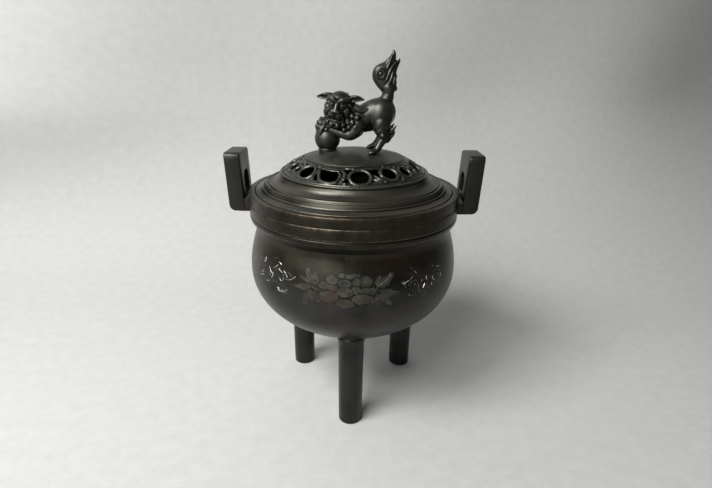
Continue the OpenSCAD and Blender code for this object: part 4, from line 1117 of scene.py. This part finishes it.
petal_silver = silver("petal_silver", (0.033, 0.032, 0.024), (0.064, 0.061, 0.046), 0.48, 0.6,
                      (0.048, 0.030, 0.023))
vein_silver = silver("vein_silver", (0.046, 0.044, 0.037), (0.095, 0.09, 0.075), 0.45, 0.7)
faded_silver = silver("faded_silver", (0.05, 0.05, 0.044), (0.17, 0.165, 0.15), 0.42, 0.7)
wire_silver = silver("wire_silver", (0.17, 0.17, 0.16), (0.80, 0.79, 0.75), 0.34, 0.8)
finish_piece("peony_inlay", petals, "vessel", [], petal_silver, 40)
finish_piece("peony_outlines", outlines, "vessel", [], black_bronze, 40)
finish_piece("peony_veins", veins, "vessel", [], vein_silver, 60)
finish_piece("silver_tendrils", tendrils, "vessel", [], wire_silver, 60)
finish_piece("faded_tendrils", faded, "vessel", [], faded_silver, 60)


# ---------------------------------------------------------------- room

def cloth(name, colour):
    """Plain woven cotton: crossed threads in the bump and faint slubs in the colour."""
    def draw(paint):
        place = paint.add("UVMap", "UV", uv_map="threads")
        tone = paint.ramp(paint.noise(place, 130, 6), (0.3, [c * 0.93 for c in colour]),
                          (0.7, colour))
        warp, weft = (paint.add("TexWave", "Fac", {"Scale": 330, "Distortion": 3, "Detail": 2,
                                                   "Vector": place}, bands_direction=direction)
                      for direction in ("X", "Y"))
        return {"Base Color": tone, "Normal": paint.bump(paint.product(warp, weft), 0.25, 0.0004)}

    return new_material(name, {"Roughness": 0.95, "Specular IOR Level": 0.1}, draw)


# One cloth lies under the burner and hangs up behind it in soft folds.
bm = bmesh.new()
sweep = [(-1.6, 0.0), (-0.8, 0.0), (-0.3, 0.0), (0.0, 0.0), (0.06, 0.0)]
sweep += [(0.10 + 0.20 * math.sin(math.radians(a)), 0.20 - 0.20 * math.cos(math.radians(a)))
          for a in range(0, 91, 6)]
sweep += [(0.30, 0.2 + 0.05 * k) for k in range(1, 21)]
run = bm.verts.layers.float.new("run")
rows = [bm.verts.new((-1.6, y, z)) for y, z in sweep]
for before, after in zip(rows, rows[1:]):
    after[run] = before[run] + (after.co - before.co).length
threads = bm.loops.layers.uv.new("threads")
edges = [bm.edges.new(pair) for pair in zip(rows, rows[1:])]
for step in range(64):
    grown = bmesh.ops.extrude_edge_only(bm, edges=edges)["geom"]
    edges = [e for e in grown if isinstance(e, bmesh.types.BMEdge)]
    bmesh.ops.translate(bm, vec=(0.05, 0, 0),
                        verts=[v for v in grown if isinstance(v, bmesh.types.BMVert)])
for face in bm.faces:
    for corner in face.loops:
        corner[threads].uv = (corner.vert.co.x, corner.vert[run])
for v in bm.verts:
    x, y, z = v.co
    hang = min(1, z / 0.15)
    v.co.y += hang * (0.30 * x + 0.012 * math.sin(9 * x + 7 * z + 0.6)
                      + 0.007 * math.sin(19 * x - 11 * z))
bmesh.ops.recalc_face_normals(bm, faces=bm.faces)
cloth_mesh = bpy.data.meshes.new("backcloth")
bm.to_mesh(cloth_mesh)
bm.free()
cloth_mesh.polygons.foreach_set("use_smooth", [True] * len(cloth_mesh.polygons))
cloth_mesh.materials.append(cloth("grey_cotton", (0.70, 0.695, 0.68)))
backcloth = bpy.data.objects.new("backcloth", cloth_mesh)
scene.collection.objects.link(backcloth)

# The room lights the cloth little, shows brighter in polished metal and is pale to the eye.
ROOM_COLOUR = (0.95, 0.97, 1.0, 1)
ROOM_ON_CLOTH, ROOM_IN_METAL, ROOM_TO_EYE = 0.03, 0.16, 0.55
# A lit wall, seen in the metal alone, gives the belly of the bowl its sheen.
WALL_TOWARDS, WALL_STRENGTH = (-0.53, -0.754, 0.387), 4.0
WALL_EDGE, WALL_MIDDLE = 0.86, 0.97    # cosines of the angle from its middle


def lit_wall(paint, plain):
    """Strength of the room round about: plain, and brighter towards the lit wall."""
    towards = paint.add("VectorMath", "Value", {0: paint.add("TexCoord", "Generated"),
                                                1: WALL_TOWARDS}, operation="DOT_PRODUCT")
    return paint.spread(towards, WALL_EDGE, WALL_MIDDLE, plain, WALL_STRENGTH,
                        interpolation_type="SMOOTHSTEP")


world = bpy.data.worlds.new("room")
world.use_nodes = True
paint = Paint(world.node_tree)
room = paint.tree.nodes["Background"]
paint.feed(room, {"Color": ROOM_COLOUR, "Strength": ROOM_ON_CLOTH})
seen = room.outputs["Background"]
for ray, strength in (("Is Glossy Ray", lit_wall(paint, ROOM_IN_METAL)),
                      ("Is Camera Ray", ROOM_TO_EYE)):
    glow = paint.add("Background", "Background", {"Color": ROOM_COLOUR, "Strength": strength})
    seen = paint.add("MixShader", "Shader", {"Fac": paint.add("LightPath", ray), 1: seen, 2: glow})
paint.feed(paint.tree.nodes["World Output"], {"Surface": seen})
scene.world = world


def softbox(name, place, aim, width, height, power):
    """A rectangular lamp at a place, turned to its aim."""
    lamp = bpy.data.lights.new(name, "AREA")
    lamp.shape = "RECTANGLE"
    lamp.size, lamp.size_y = width, height
    lamp.energy = power
    holder = bpy.data.objects.new(name, lamp)
    holder.location = place
    holder.rotation_mode = "QUATERNION"
    holder.rotation_quaternion = (Vector(aim) - Vector(place)).to_track_quat("-Z", "Y")
    scene.collection.objects.link(holder)
    return holder


BELLY = (0, 0, 0.08)    # what both windows face
softbox("window", (-0.45, -0.33, 0.74), BELLY, 0.34, 0.34, 6.2)
softbox("second_window", (-0.27, -0.58, 0.64), BELLY, 0.30, 0.34, 2.9)

# The camera, close to the burner and a little above it.
EYE_BACK, EYE_HEIGHT = 0.2587, 0.1975
EYE_ROUND, EYE_ASIDE, EYE_DOWN, EYE_ROLL = (math.radians(a) for a in (0.46, 0.14, 21.48, 0.76))
eye = bpy.data.cameras.new("eye")
eye.lens = 23.4202
eye.sensor_width = 36
eye.shift_x = 0.005618
eye.clip_start = 0.01
camera = bpy.data.objects.new("eye", eye)
scene.collection.objects.link(camera)
camera.rotation_mode = "QUATERNION"
camera.location = (EYE_BACK * math.sin(EYE_ROUND), -EYE_BACK * math.cos(EYE_ROUND), EYE_HEIGHT)
camera.rotation_quaternion = (
    Matrix.Rotation(EYE_ROUND + EYE_ASIDE, 3, "Z")
    @ Matrix.Rotation(math.pi / 2 - EYE_DOWN, 3, "X")
    @ Matrix.Rotation(EYE_ROLL, 3, "Z")).to_quaternion()
scene.camera = camera
scene.view_settings.view_transform = "Standard"
